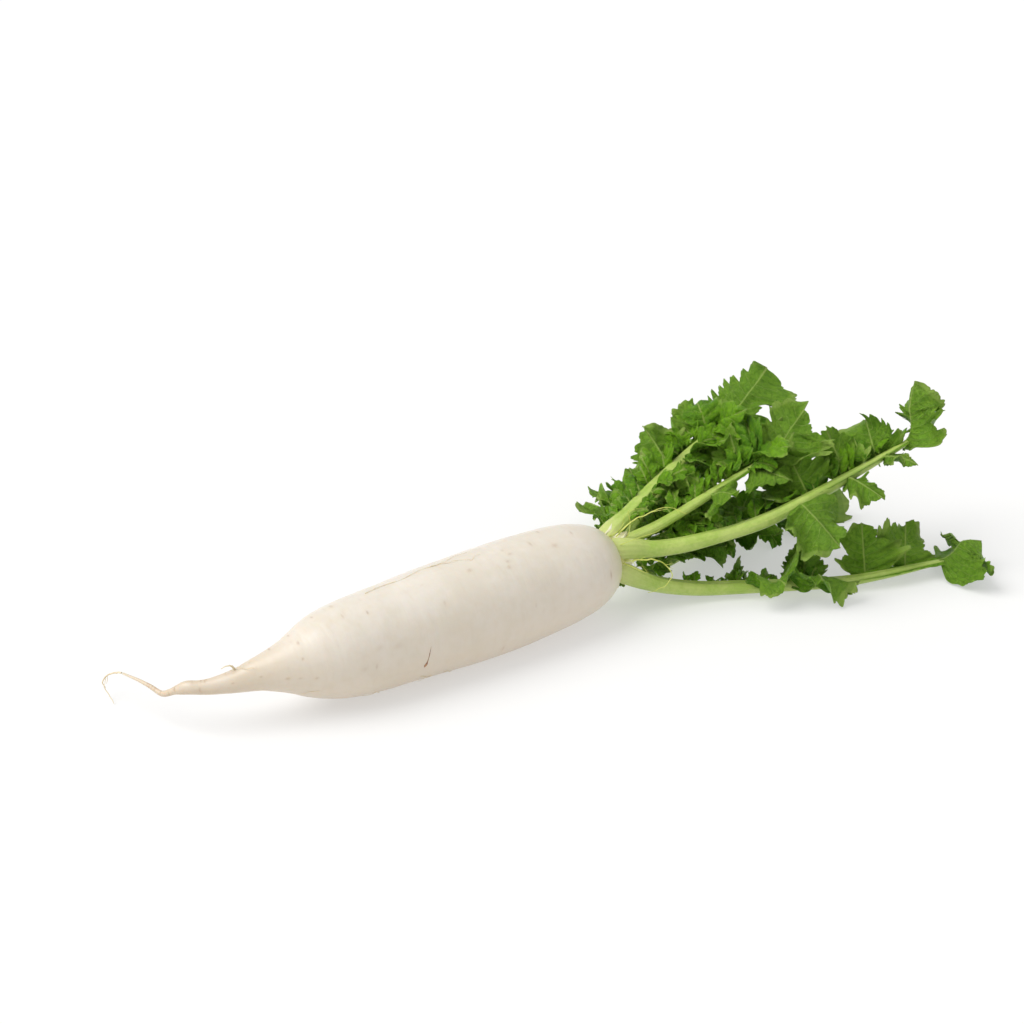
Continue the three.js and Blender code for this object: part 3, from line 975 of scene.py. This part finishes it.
def bentSpine(spine, bend, twist):
    # the spine drooped away from its face and twisted towards its tip
    line, side, face = spine["line"], spine["side"], spine["face"]
    steps = np.linalg.norm(np.diff(line, axis=0), axis=1)
    run = np.concatenate([[0], np.cumsum(steps)])
    forward = unit(np.gradient(line, axis=0))
    share = (run / run[-1])[:, None]
    droop = math.radians(bend) * share**1.5
    ahead = forward * np.cos(droop) - face * np.sin(droop)
    face = face * np.cos(droop) + forward * np.sin(droop)
    line = line[0] + np.concatenate([[[0, 0, 0]], np.cumsum(ahead[:-1] * steps[:, None], axis=0)])
    turn = math.radians(twist) * share**1.2
    return line, side * np.cos(turn) + face * np.sin(turn), face * np.cos(turn) - side * np.sin(turn), run


def toothCut(count, depth, rng):
    # how far the margin is cut in at each place: steep behind a tooth, round before the next
    place = count - np.floor(count)
    depths = depth * rng.uniform(0.35, 1.35, int(count.max()) + 2)[np.floor(count).astype(int)]
    bulge = 1 - np.sin(np.pi / 2 * np.clip((place - 0.17) / 0.83, 0, 1)) ** 0.75
    return depths * np.where(place < 0.17, place / 0.17, bulge)


def bladeMesh(spine, profile, options, rng):
    # a closed toothed blade along a spine; the spine gives line, side, face, half and cup
    shape = bladeShape
    rows, width, size = options["rows"], options["width"], options["size"]
    line, side, face, run = bentSpine(spine, options["bend"], options["twist"])
    length = run[-1]
    u = np.linspace(0, 1, rows)
    sides = []
    for sign in (-1, 1):
        seed = int(rng.integers(10000))
        count = u * options["veins"] + rng.uniform(0, 0.9)
        teeth = options.get("teeth", 1)
        cut = toothCut(count, shape["toothDepth"] * teeth, rng)
        cut += toothCut(count * 2.7, shape["smallTeeth"] * teeth, rng)
        cut -= options.get("lobing", 0.2) * wander(u * 3.6, seed)
        outline = width * rng.uniform(0.88, 1.1) * np.maximum(smoothAlong(profile, u), 0)
        s = columnPlaces[None] * (1 - cut * np.clip(u * 7, 0, 1))[:, None]
        start = (0.8 * length * u**1.6)[:, None]
        x = start + ((length * u)[:, None] - start) * np.clip(s, 0, 2) ** 1.15
        y = outline[:, None] * s
        frac = count[:, None] % 1.0 + 0 * s
        toVein = np.minimum(frac, 1 - frac)
        raised = math.radians(options["fold"] * rng.uniform(0.5, 1.5))
        fromRib = y / max(width, 1e-6)
        lift = -spine["cup"] * fromRib**2 + y * math.sin(raised) * (1 - 0.45 * fromRib)
        lift += shape["pillow"] * size * np.sin(np.pi * frac) * np.sin(np.pi * np.clip(s, 0, 1) ** 0.7)
        waves = wander(count * 0.5, seed + 1) + 0.5 * wander(count * 1.1, seed + 2)
        nearMargin = s**1.8 * np.clip(u * 4, 0, 1)[:, None]
        lift += shape["ruffle"] * options["frill"] * width * nearMargin * waves[:, None]
        for key, shift in (("crumple", 3), ("pucker", 4)):
            cell = shape[key + "Size"]
            lift += shape[key] * size * noiseField(x / cell, 4 + y / cell, 64, seed + shift)
        lift *= fade(np.clip(fromRib * 7, 0, 1))
        y = y * math.cos(raised * 0.8)
        furrow = shape["vein"] * size * np.exp(-toVein**2 / 0.006) * (1 - 0.7 * np.clip(s, 0, 1))
        ribbed = np.maximum(shape["rib"] * options["rib"] * (1 - 0.8 * x / length), shape["thinnestRib"])
        nearRib = np.exp(-(y / (ribbed * 1.25)) ** 2)
        under = lift - shape["thickness"] / 2 - ribbed * nearRib - furrow * 0.9
        over = lift + shape["thickness"] / 2 + 0.25 * ribbed * nearRib - furrow * 0.6
        sides.append({"x": x, "y": sign * y, "over": over, "under": under,
                      "count": count[:, None] + 0 * s, "s": sign * s})
    joined = {key: np.concatenate([sides[0][key][:, :0:-1], sides[1][key]], axis=1) for key in sides[0]}
    x, y = joined["x"], joined["y"]
    places = np.arange(len(run))
    at = np.interp(np.clip(x, 0, length), run, places)
    onLine, across, outward = (np.stack([np.interp(at, places, values[:, k]) for k in range(3)], axis=-1)
                               for values in (line, side, face))
    across, outward = unit(across), unit(outward)
    layers = []
    for key, clear in (("over", 0.45 * mm), ("under", 0.05 * mm)):
        layer = onLine + across * y[..., None] + outward * joined[key][..., None]
        layers.append(aboveFloor(layer, clear).reshape(-1, 3))
    cols = x.shape[1]
    veinMap = np.stack([joined["count"], joined["s"]], axis=-1).reshape(-1, 2)
    flatMap = np.stack([x * 100, y * 100], axis=-1).reshape(-1, 2)
    # tints: red is the underside, green the fresher blades, blue a yellow margin
    tones = np.zeros((2, rows, cols, 3))
    tones[1, ..., 0] = 1.0
    tones[..., 1] = options["tint"]
    tones[..., 2] = options["yellow"] * np.clip(np.abs(joined["s"]), 0, 1) ** 3
    maps = {"veinMap": np.concatenate([veinMap, veinMap]), "flatMap": np.concatenate([flatMap, flatMap])}
    return np.concatenate(layers), shellFaces(rows, cols), maps, tones.reshape(-1, 3)


def settleBlades(name, made, *nodes):
    # one or more blades as one piece
    points, faces = joinMeshes([(points, faces) for points, faces, _, _ in made])
    maps = {key: np.concatenate([maps[key] for _, _, maps, _ in made]) for key in ("veinMap", "flatMap")}
    tones = np.concatenate([tones for _, _, _, tones in made])
    return settle(makePiece(name, points, faces, "blade", maps, tones), "blade", *nodes)


def attached(spine, stalk):
    # the spine run on from its foot to the stalk's surface
    foot = spine["line"][0]
    gaps = np.linalg.norm(stalk["line"] - foot, axis=1)
    near = int(np.argmin(gaps))
    inward = stalk["line"][near] - foot
    start = foot + inward * max(0.0, 1 - 0.75 * stalk["half"][near] / max(gaps[near], 1e-6))
    extra = 5
    pad = [start + (foot - start) * k / extra for k in range(extra)]
    grown = dict(spine)
    grown["line"] = np.concatenate([pad, spine["line"]])
    for key in ("side", "face"):
        grown[key] = np.concatenate([np.repeat(spine[key][:1], extra, 0), spine[key]])
    return grown


def flowing(spine, stalk):
    # an end blade's spine that leaves the stalk in the stalk's own direction
    tip, ahead = stalk["line"][-1], unit(stalk["line"][-1] - stalk["line"][-6])
    line = spine["line"]
    joint = int(len(line) * 0.5)
    reach = np.linalg.norm(line[joint] - tip)
    k = np.linspace(0, 1, joint + 8)[:, None]
    start = tip - ahead * 3 * mm
    hub = start + ahead * reach * 0.5
    curve = start * (1 - k) ** 2 + hub * 2 * k * (1 - k) + line[joint] * k**2
    grown = dict(spine)
    grown["line"] = np.concatenate([curve[:-1], line[joint:]])
    forward = unit(np.gradient(grown["line"], axis=0))
    count = len(forward)
    blend = np.clip(np.linspace(0, 2, count), 0, 1)[:, None]
    old = smoothAlong(spine["side"], np.linspace(0, 1, count))
    begin = stalk["side"][-1] * (1 if stalk["side"][-1] @ spine["side"][joint] > 0 else -1)
    side = begin * (1 - blend) + old * blend
    side = unit(side - forward * (side * forward).sum(1, keepdims=True))
    face = unit(np.cross(side, forward))
    turned = (face * smoothAlong(spine["face"], np.linspace(0, 1, count))).sum() < 0
    grown["side"], grown["face"] = (-side, -face) if turned else (side, face)
    return grown


# blades set one by one, where they are seen best: how much wider, droop, fold and twist in degrees
bladeChanges = {
    "leaf_1_end_lobe": {"wider": 1.3, "bend": 35, "fold": 34, "twist": 12, "frill": 0.5, "lobing": 0.12,
                        "teeth": 0.8},
    "leaf_1_right_lobe_1": {"wider": 1.2, "bend": 50, "fold": -14, "twist": -10, "frill": 1.2, "tint": 0.0},
    "leaf_1_right_lobe_2": {"wider": 1.1, "bend": 50, "fold": 38, "twist": 12, "frill": 1.1, "tint": 0.05,
                            "teeth": 1.6},
    "leaf_2_right_lobe_1": {"wider": 0.95, "bend": 22, "fold": 16, "twist": 10, "frill": 1.0},
    "leaf_3_right_lobe_1": {"wider": 1.9, "bend": -5, "fold": 6, "twist": 0, "frill": 1.0},
    "leaf_3_right_lobe_2": {"wider": 1.4, "bend": 30, "fold": 14, "twist": -5, "frill": 1.1},
    "leaf_2_left_lobe_1": {"wider": 2.0, "bend": 10, "fold": 10, "twist": 0, "frill": 1.1, "tint": 0.1},
    "leaf_2_left_lobe_2": {"wider": 1.3, "bend": 10, "fold": 20, "twist": 0, "frill": 1.1},
    "leaf_2_end_lobe": {"wider": 0.9, "bend": 10, "fold": 42, "twist": -30, "frill": 1.0, "lobing": 0.25},
}


def buildLobe(node, stalk, seed):
    rng = np.random.default_rng(seed)
    ending = node.endswith("end_lobe")
    foot = stalk["line"][-1] if ending else nearestEnd(node, stalk)
    spine = (flowing if ending else attached)(readSpine(node, foot), stalk)
    options = {
        "rows": 120 if ending else 92,
        "veins": 9.0 if ending else 7.0,
        "width": spine["half"].max() * (1.4 if ending else 1.45),
        "fold": rng.uniform(6, 44),
        "twist": rng.uniform(-45, 45),
        "bend": rng.uniform(-15, 85),
        "frill": rng.uniform(0.7, 1.5),
        "rib": 2.2 if ending else 1.45,
        "lobing": 0.50 if ending else 0.36,
        "size": 1.1 if ending else 0.95,
        "tint": rng.uniform(0.0, 0.8) ** 1.5,
        "yellow": rng.uniform(0.0, 0.2),
    }
    changes = bladeChanges.get(node, {})
    options["width"] *= changes.get("wider", 1)
    options.update(changes)
    blade = bladeMesh(spine, endProfile if ending else lobeProfile, options, rng)
    return settleBlades(node + "_blade", [blade], node)


def nearestEnd(node, stalk):
    low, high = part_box(node)
    middle = np.array((low + high) / 2)
    return stalk["line"][int(np.argmin(np.linalg.norm(stalk["line"] - middle, axis=1)))]


leafletShape = {
    "rows": 40,
    "wing": 3.4 * mm,
    "wingFrom": 0.6,  # share of the stalk
    "wingTeeth": 24,
    "wingRows": 180,
    "wingCols": 7,
}
# for each leaf: share of the stalk where leaflets start and end, how many each side, shortest and longest,
# and the share from which the near side bears them too
leafletPlan = {
    "leaf_1": (0.14, 0.60, 13, 5 * mm, 16 * mm, 1.0),
    "leaf_2": (0.20, 0.97, 17, 12 * mm, 34 * mm, 1.0),
    "leaf_3": (0.30, 0.97, 15, 10 * mm, 30 * mm, 0.8),
    "other": (0.14, 0.97, 17, 9 * mm, 30 * mm, 0.0),
}


def makeSpine(foot, outward, face, length, rise):
    # a small blade's spine, which starts tilted towards its face and levels out
    steps = 16
    tilt = np.radians(rise) * (1 - np.linspace(0, 1, steps)[:, None])
    line = foot + np.cumsum(outward * np.cos(tilt) + face * np.sin(tilt), axis=0) * length / steps
    forward = unit(np.gradient(line, axis=0))
    side = unit(np.cross(forward, face))
    return {"line": line, "side": side, "face": unit(np.cross(side, forward)), "cup": 0.0}


def wingMesh(stalk, sign, rng):
    # the narrow toothed wing that runs down one side of the stalk's far part
    shape = leafletShape
    rows, cols, first = shape["wingRows"], shape["wingCols"], shape["wingFrom"]
    t = np.linspace(first, 0.995, rows)
    line, side, face, half = alongStalk(stalk, t)
    seed = int(rng.integers(10000))
    count = t * shape["wingTeeth"] + rng.uniform(0, 1)
    reach = shape["wing"] * np.clip((t - first) * 4, 0.02, 1) * (1 - toothCut(count, 0.5, rng))
    reach = reach * (1 + 0.6 * wander(count / 3, seed))
    k = np.linspace(0, 1, cols)[None]
    y = half[:, None] * 0.8 + reach[:, None] * k
    lift = 0.5 * mm + 1.6 * mm * k**2 * (wander(count / 2.2, seed + 1) + 0.4)[:, None]
    middle = line[:, None] + side[:, None] * (sign * y)[..., None] + face[:, None] * lift[..., None]
    points = shellPoints(middle, face[:, None] * 0.2 * mm)
    flat = np.stack([t[:, None] * 20 + 0 * k, 0.3 + y * 100], axis=-1).reshape(-1, 2)
    vein = np.stack([count[:, None] + 0 * k, 0.4 + 0.6 * k + 0 * count[:, None]], axis=-1).reshape(-1, 2)
    tones = np.zeros((2 * rows * cols, 3))
    tones[rows * cols:, 0] = 1.0
    tones[:, 1] = 0.6
    maps = {"veinMap": np.concatenate([vein, vein]), "flatMap": np.concatenate([flat, flat])}
    return points, shellFaces(rows, cols), maps, tones


def buildLeaflets(leaf, stalk, seed):
    rng = np.random.default_rng(seed)
    first, last, pairs, shortest, longest, nearFrom = leafletPlan.get(leaf, leafletPlan["other"])
    made = [wingMesh(stalk, -1, rng), wingMesh(stalk, 1, rng)]
    for k in range(pairs):
        for sign in (1,) if k < nearFrom * pairs else (-1, 1):
            place = np.array([first + (last - first) * (k + rng.uniform(0, 0.8)) / pairs])
            line, side, face, half = (values[0] for values in alongStalk(stalk, place))
            if side[1] < 0:
                side = -side  # sign 1 is always the far side
            forward = unit(smoothAlong(np.gradient(stalk["line"], axis=0), place))[0]
            length = (shortest + (longest - shortest) * (k / pairs) ** 0.8) * rng.uniform(0.65, 1.2)
            lean = math.radians(rng.uniform(5, 50))
            outward = sign * side * math.cos(lean) + forward * math.sin(lean)
            foot = line + sign * side * half * 0.84 + face * half * 0.3
            spine = makeSpine(foot, outward, face, length, rng.uniform(0, 70))
            options = {"rows": leafletShape["rows"], "veins": 4.0, "width": length * rng.uniform(0.34, 0.52),
                       "fold": rng.uniform(0, 40), "twist": rng.uniform(-60, 60),
                       "bend": rng.uniform(-40, 110), "frill": rng.uniform(1.0, 2.4), "rib": 0.5,
                       "size": length / (24 * mm), "tint": rng.uniform(0.0, 0.8), "yellow": 0.0,
                       "teeth": 1.3}
            made.append(bladeMesh(spine, lobeProfile, options, rng))
    return settleBlades(leaf + "_leaflets", made)


# each thread's solid, slot, material, wander, seed and number of side hairs
threads = [
    ("tail_thread", "rootlet", "rootlet", 0.5 * mm, 61, 3),
    ("curled_rootlet", "rootlet", "rootlet", 0.2 * mm, 62, 0),
    ("crown_thread_1", "dry_thread", "fibre", 0.6 * mm, 63, 2),
    ("crown_thread_2", "dry_thread", "fibre", 0.6 * mm, 64, 2),
]
threadShape = {"rows": 90, "around": 10, "hairRows": 20, "hairAround": 6, "clear": 0.1 * mm}


def settleThreads(name, parts, slot, material, *nodes):
    # tubes as one piece that lies just clear of the floor
    points, faces = joinMeshes(parts)
    piece = makePiece(name, aboveFloor(points, threadShape["clear"]), faces, material)
    return settle(piece, slot, *nodes)


def buildThread(node, slot, material, wobble, seed, branches):
    # the solid's own line, with a slight wander and finer side hairs
    shape, rows, hairRows = threadShape, threadShape["rows"], threadShape["hairRows"]
    rings = readRings(node, crownCentre())
    rng = np.random.default_rng(seed)
    t = np.linspace(0, 1, rows)
    line = smoothAlong(rings.mean(1), t)
    thick = smoothAlong(np.linalg.norm(rings - rings.mean(1, keepdims=True), axis=2).mean(1), t)
    for k in range(3):
        line[:, k] += wobble * wander(t * 14, seed + k) * np.clip(t * 6, 0, 1)
    parts = [tubeMesh(line, thick * np.linspace(1, 0.45, rows), shape["around"])]
    for _ in range(branches):
        at = rng.integers(15, 75)
        way = unit(rng.normal(0, 1, 3) + unit(line[at + 1] - line[at]) * 1.5)
        k = np.linspace(0, 1, hairRows)[:, None]
        hair = line[at] + way * k * rng.uniform(4, 10) * mm + rng.normal(0, 1, 3) * 2.5 * mm * k**2
        parts.append(tubeMesh(hair, np.linspace(0.22, 0.1, hairRows) * mm, shape["hairAround"]))
    return settleThreads(node + "_strand", parts, slot, material, node)


hairShape = {
    "radius": 0.13 * mm,
    "rows": 40,
    # each hair: place along the root and height angle at its start and end, how far it stands off
    "hairs": [
        (196, -38, 207, -52, 0.4), (205, -44, 199, -60, 0.6), (214, -46, 224, -56, 0.5),
        (170, -50, 160, -64, 0.5), (176, 96, 262, 106, 0.5), (226, 98, 262, 84, 0.9), (96, 60, 84, 96, 1.5),
        (128, -30, 118, -46, 0.5),
    ],
}


def buildHairs(points, normals):
    # fine hairs that cling to the skin
    centre = points.mean(1)
    travelled = travel(centre) / mm
    k = np.linspace(0, 1, hairShape["rows"])
    parts = []
    for number, (start, tiltStart, end, tiltEnd, off) in enumerate(hairShape["hairs"]):
        line = []
        for where, tilt, wave in zip(start + (end - start) * k, tiltStart + (tiltEnd - tiltStart) * k**1.4,
                                     wander(k * 6, 300 + number)):
            row = int(np.clip(np.searchsorted(travelled, where), 0, len(points) - 1))
            away = points[row] - centre[row]
            angle = np.degrees(np.arctan2(away[:, 2], -away[:, 1]))
            j = int(np.argmin(np.abs((angle - tilt - wave * 5 + 180) % 360 - 180)))
            rise = math.sin(math.pi * min(1, 0.1 + where % 7 / 7))
            line.append(points[row, j] + normals[row, j] * off * mm * rise)
        line = smoothAlong(np.array(line)[::4], k)
        parts.append(tubeMesh(line, hairShape["radius"] * np.linspace(1.2, 0.6, len(k)), 6))
    return settleThreads("rootHairs", parts, "rootlet", "rootlet")


def buildFibres():
    # dry curly fibres that spring from between the stalks
    rng = np.random.default_rng(crownShape["fibreSeed"])
    centre = crownCentre()
    parts = []
    for _ in range(crownShape["fibres"]):
        clock = rng.uniform(0, 2 * math.pi)
        spread = math.radians(rng.uniform(35, 80))
        way = outFromCrown(spread, clock)
        k = np.linspace(0, 1, 40)[:, None]
        length = rng.uniform(8, 26) * mm
        swing = unit(rng.normal(0, 1, 3) + [0.6, 0, 0])
        hook = unit(np.cross(way, swing))
        turn = rng.uniform(1.5, 4.5)
        line = centre + way * (crownShape["fibreFrom"] * mm) + way * k * length
        line = line + swing * length * 0.45 * np.sin(k * turn)
        line = line + hook * length * 0.3 * (1 - np.cos(k * turn))
        line[:, 0] = np.maximum(line[:, 0], centre[0] + 4 * mm)
        radii = np.linspace(1.0, 0.4, len(k)) * crownShape["fibreRadius"] * rng.uniform(0.7, 1.3)
        parts.append(tubeMesh(line, radii, 6))
    return settleThreads("crownFibres", parts, "dry_thread", "fibre")


def buildScales():
    # papery leaf bases that stand round the crown between the stalks
    rng = np.random.default_rng(crownShape["scaleSeed"])
    centre = crownCentre()
    parts = []
    rows, cols = crownShape["scaleRows"], crownShape["scaleCols"]
    for k in range(crownShape["scales"]):
        clock = 2 * math.pi * (k + rng.uniform(-0.3, 0.3)) / crownShape["scales"]
        spread = math.radians(rng.uniform(62, 84))
        way = outFromCrown(spread, clock)
        foot = centre + way * crownShape["scaleFrom"] * mm
        tangent = unit(np.cross([1.0, 0, 0], way))
        length, width = rng.uniform(7, 14) * mm, rng.uniform(3, 5.5) * mm
        u = np.linspace(0, 1, rows)[:, None]
        v = np.linspace(-1, 1, cols)[None]
        taper = np.sqrt(np.clip(1 - u**1.7, 0, 1)) * (1 + 0.12 * np.sin(9 * u + k))
        ahead = unit(np.array([1.0, 0, 0]) + way * rng.uniform(0.1, 0.7))
        outward = np.cross(tangent, ahead)
        outward = outward if outward @ way > 0 else -outward
        curve = 1.4 * mm * (1 - v**2) + 2.2 * mm * u**2 * rng.uniform(-0.5, 1.2)
        curve = curve + 0.5 * mm * np.sin(7 * v + 5 * u)
        middle = foot + ahead * (u * length)[..., None] + tangent * (v * width * taper)[..., None]
        middle = middle + outward * curve[..., None]
        parts.append((shellPoints(middle, outward * 0.18 * mm), shellFaces(rows, cols)))
    return settle(makePiece("crownScales", *joinMeshes(parts), "scale"), "crown")


def buildSprouts():
    # tiny curled leaflets beside the feet of the stalks
    rng = np.random.default_rng(crownShape["sproutSeed"])
    centre, made = crownCentre(), []
    for k in range(crownShape["sprouts"]):
        clock = math.radians(-118 + 12 * rng.normal()) if k < 5 else rng.uniform(0, 2 * math.pi)
        way = np.array([0.45, math.cos(clock), math.sin(clock)])
        foot = centre + unit(way) * crownShape["sproutFrom"] * mm
        length = rng.uniform(5, 9) * mm
        outward, face = unit(way + [0.5, 0, 0]), unit(rng.normal(0, 1, 3))
        spine = makeSpine(foot, outward, face, length, rng.uniform(0, 50))
        options = {"rows": 26, "veins": 3.0, "width": length * 0.4, "fold": rng.uniform(10, 45), "size": 0.3,
                   "twist": rng.uniform(-80, 80), "bend": rng.uniform(40, 150), "frill": 1.6, "rib": 0.4,
                   "tint": rng.uniform(0, 0.6), "yellow": 0.3, "teeth": 1.3}
        made.append(bladeMesh(spine, lobeProfile, options, rng))
    return settleBlades("crownSprouts", made)


buildRoot()
print("root done")
buildCrown()
buildScales()
buildFibres()
buildSprouts()
print("crown done")
leafNames = sorted({node[:6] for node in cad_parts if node.startswith("leaf_")})
for number, leaf in enumerate(leafNames):
    stalk = readStalk(leaf)
    buildStalk(leaf, stalk, 100 + number)
    lobes = sorted(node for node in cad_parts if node.startswith(leaf) and "_lobe" in node)
    for k, node in enumerate(lobes):
        buildLobe(node, stalk, 1000 + 50 * number + k)
    buildLeaflets(leaf, stalk, 3000 + number)
    print(leaf, "done with", len(lobes), "lobes")
for thread in threads:
    buildThread(*thread)
print("threads done")


stageLook = {
    "floor": (0.50, 0.50, 0.498),
    "floorSize": 30.0,
    "floorDrop": 0.02 * mm,
    "glow": 0.425,
    "world": 0.58,
    # soft lights: name, where from, strength, spread in degrees, tint
    "lights": [
        ("keySoftbox", (-0.72, 0.3, 1.0), 2.4, 50, (1.0, 0.985, 0.96)),
        ("fillSoftbox", (0.5, -1.2, 0.9), 0.12, 80, (0.97, 0.985, 1.0)),
    ],
}
view = {"turn": -35.0, "tilt": 26.0, "distance": 1.54, "lens": 85.0, "right": 0.0363, "up": 0.0631}


def buildStage():
    mesh = bpy.data.meshes.new("floorSheet")
    half = stageLook["floorSize"] / 2
    z = cadBox[0][2] - stageLook["floorDrop"]
    corners = [(-half, -half, z), (half, -half, z), (half, half, z), (-half, half, z)]
    mesh.from_pydata(corners, [], [(0, 1, 2, 3)])
    floor = bpy.data.objects.new("floorSheet", mesh)
    bpy.context.scene.collection.objects.link(floor)
    mesh.materials.append(newMaterial("paleFloor", {
        "Base Color": (*stageLook["floor"], 1), "Roughness": 0.9, "Specular IOR Level": 0.1,
        "Emission Color": (1, 1, 1, 1), "Emission Strength": stageLook["glow"],
    })[0])
    world = bpy.data.worlds.new("studio")
    world.use_nodes = True
    sky = world.node_tree.nodes["Background"].inputs
    sky["Color"].default_value = (1.0, 1.0, 1.0, 1)
    sky["Strength"].default_value = stageLook["world"]
    bpy.context.scene.world = world


def addLight(name, source, power, spread, tint):
    # a very soft light from far away, so that the floor is evenly lit
    data = bpy.data.lights.new(name, "SUN")
    data.energy, data.angle, data.color = power, math.radians(spread), tint
    lamp = bpy.data.objects.new(name, data)
    bpy.context.scene.collection.objects.link(lamp)
    lamp.rotation_euler = Vector(source).to_track_quat("Z", "Y").to_euler()


def buildCamera():
    turn, tilt = math.radians(view["turn"]), math.radians(view["tilt"])
    right = Vector((math.cos(turn), math.sin(turn), 0))
    back = Vector((math.sin(turn) * math.cos(tilt), -math.cos(turn) * math.cos(tilt), math.sin(tilt)))
    upward = back.cross(right)
    low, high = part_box("root")
    aim = Vector((0, 0, (high.z - low.z) / 2)) + right * view["right"] + upward * view["up"]
    data = bpy.data.cameras.new("camera")
    data.lens = view["lens"]
    camera = bpy.data.objects.new("camera", data)
    bpy.context.scene.collection.objects.link(camera)
    camera.matrix_world = Matrix((right, upward, back)).transposed().to_4x4()
    camera.location = aim + back * view["distance"]
    bpy.context.scene.camera = camera


buildStage()
buildCamera()
for light in stageLook["lights"]:
    addLight(*light)
scene = bpy.context.scene
scene.view_settings.view_transform = "Standard"
scene.view_settings.look = "None"
print("stage done")
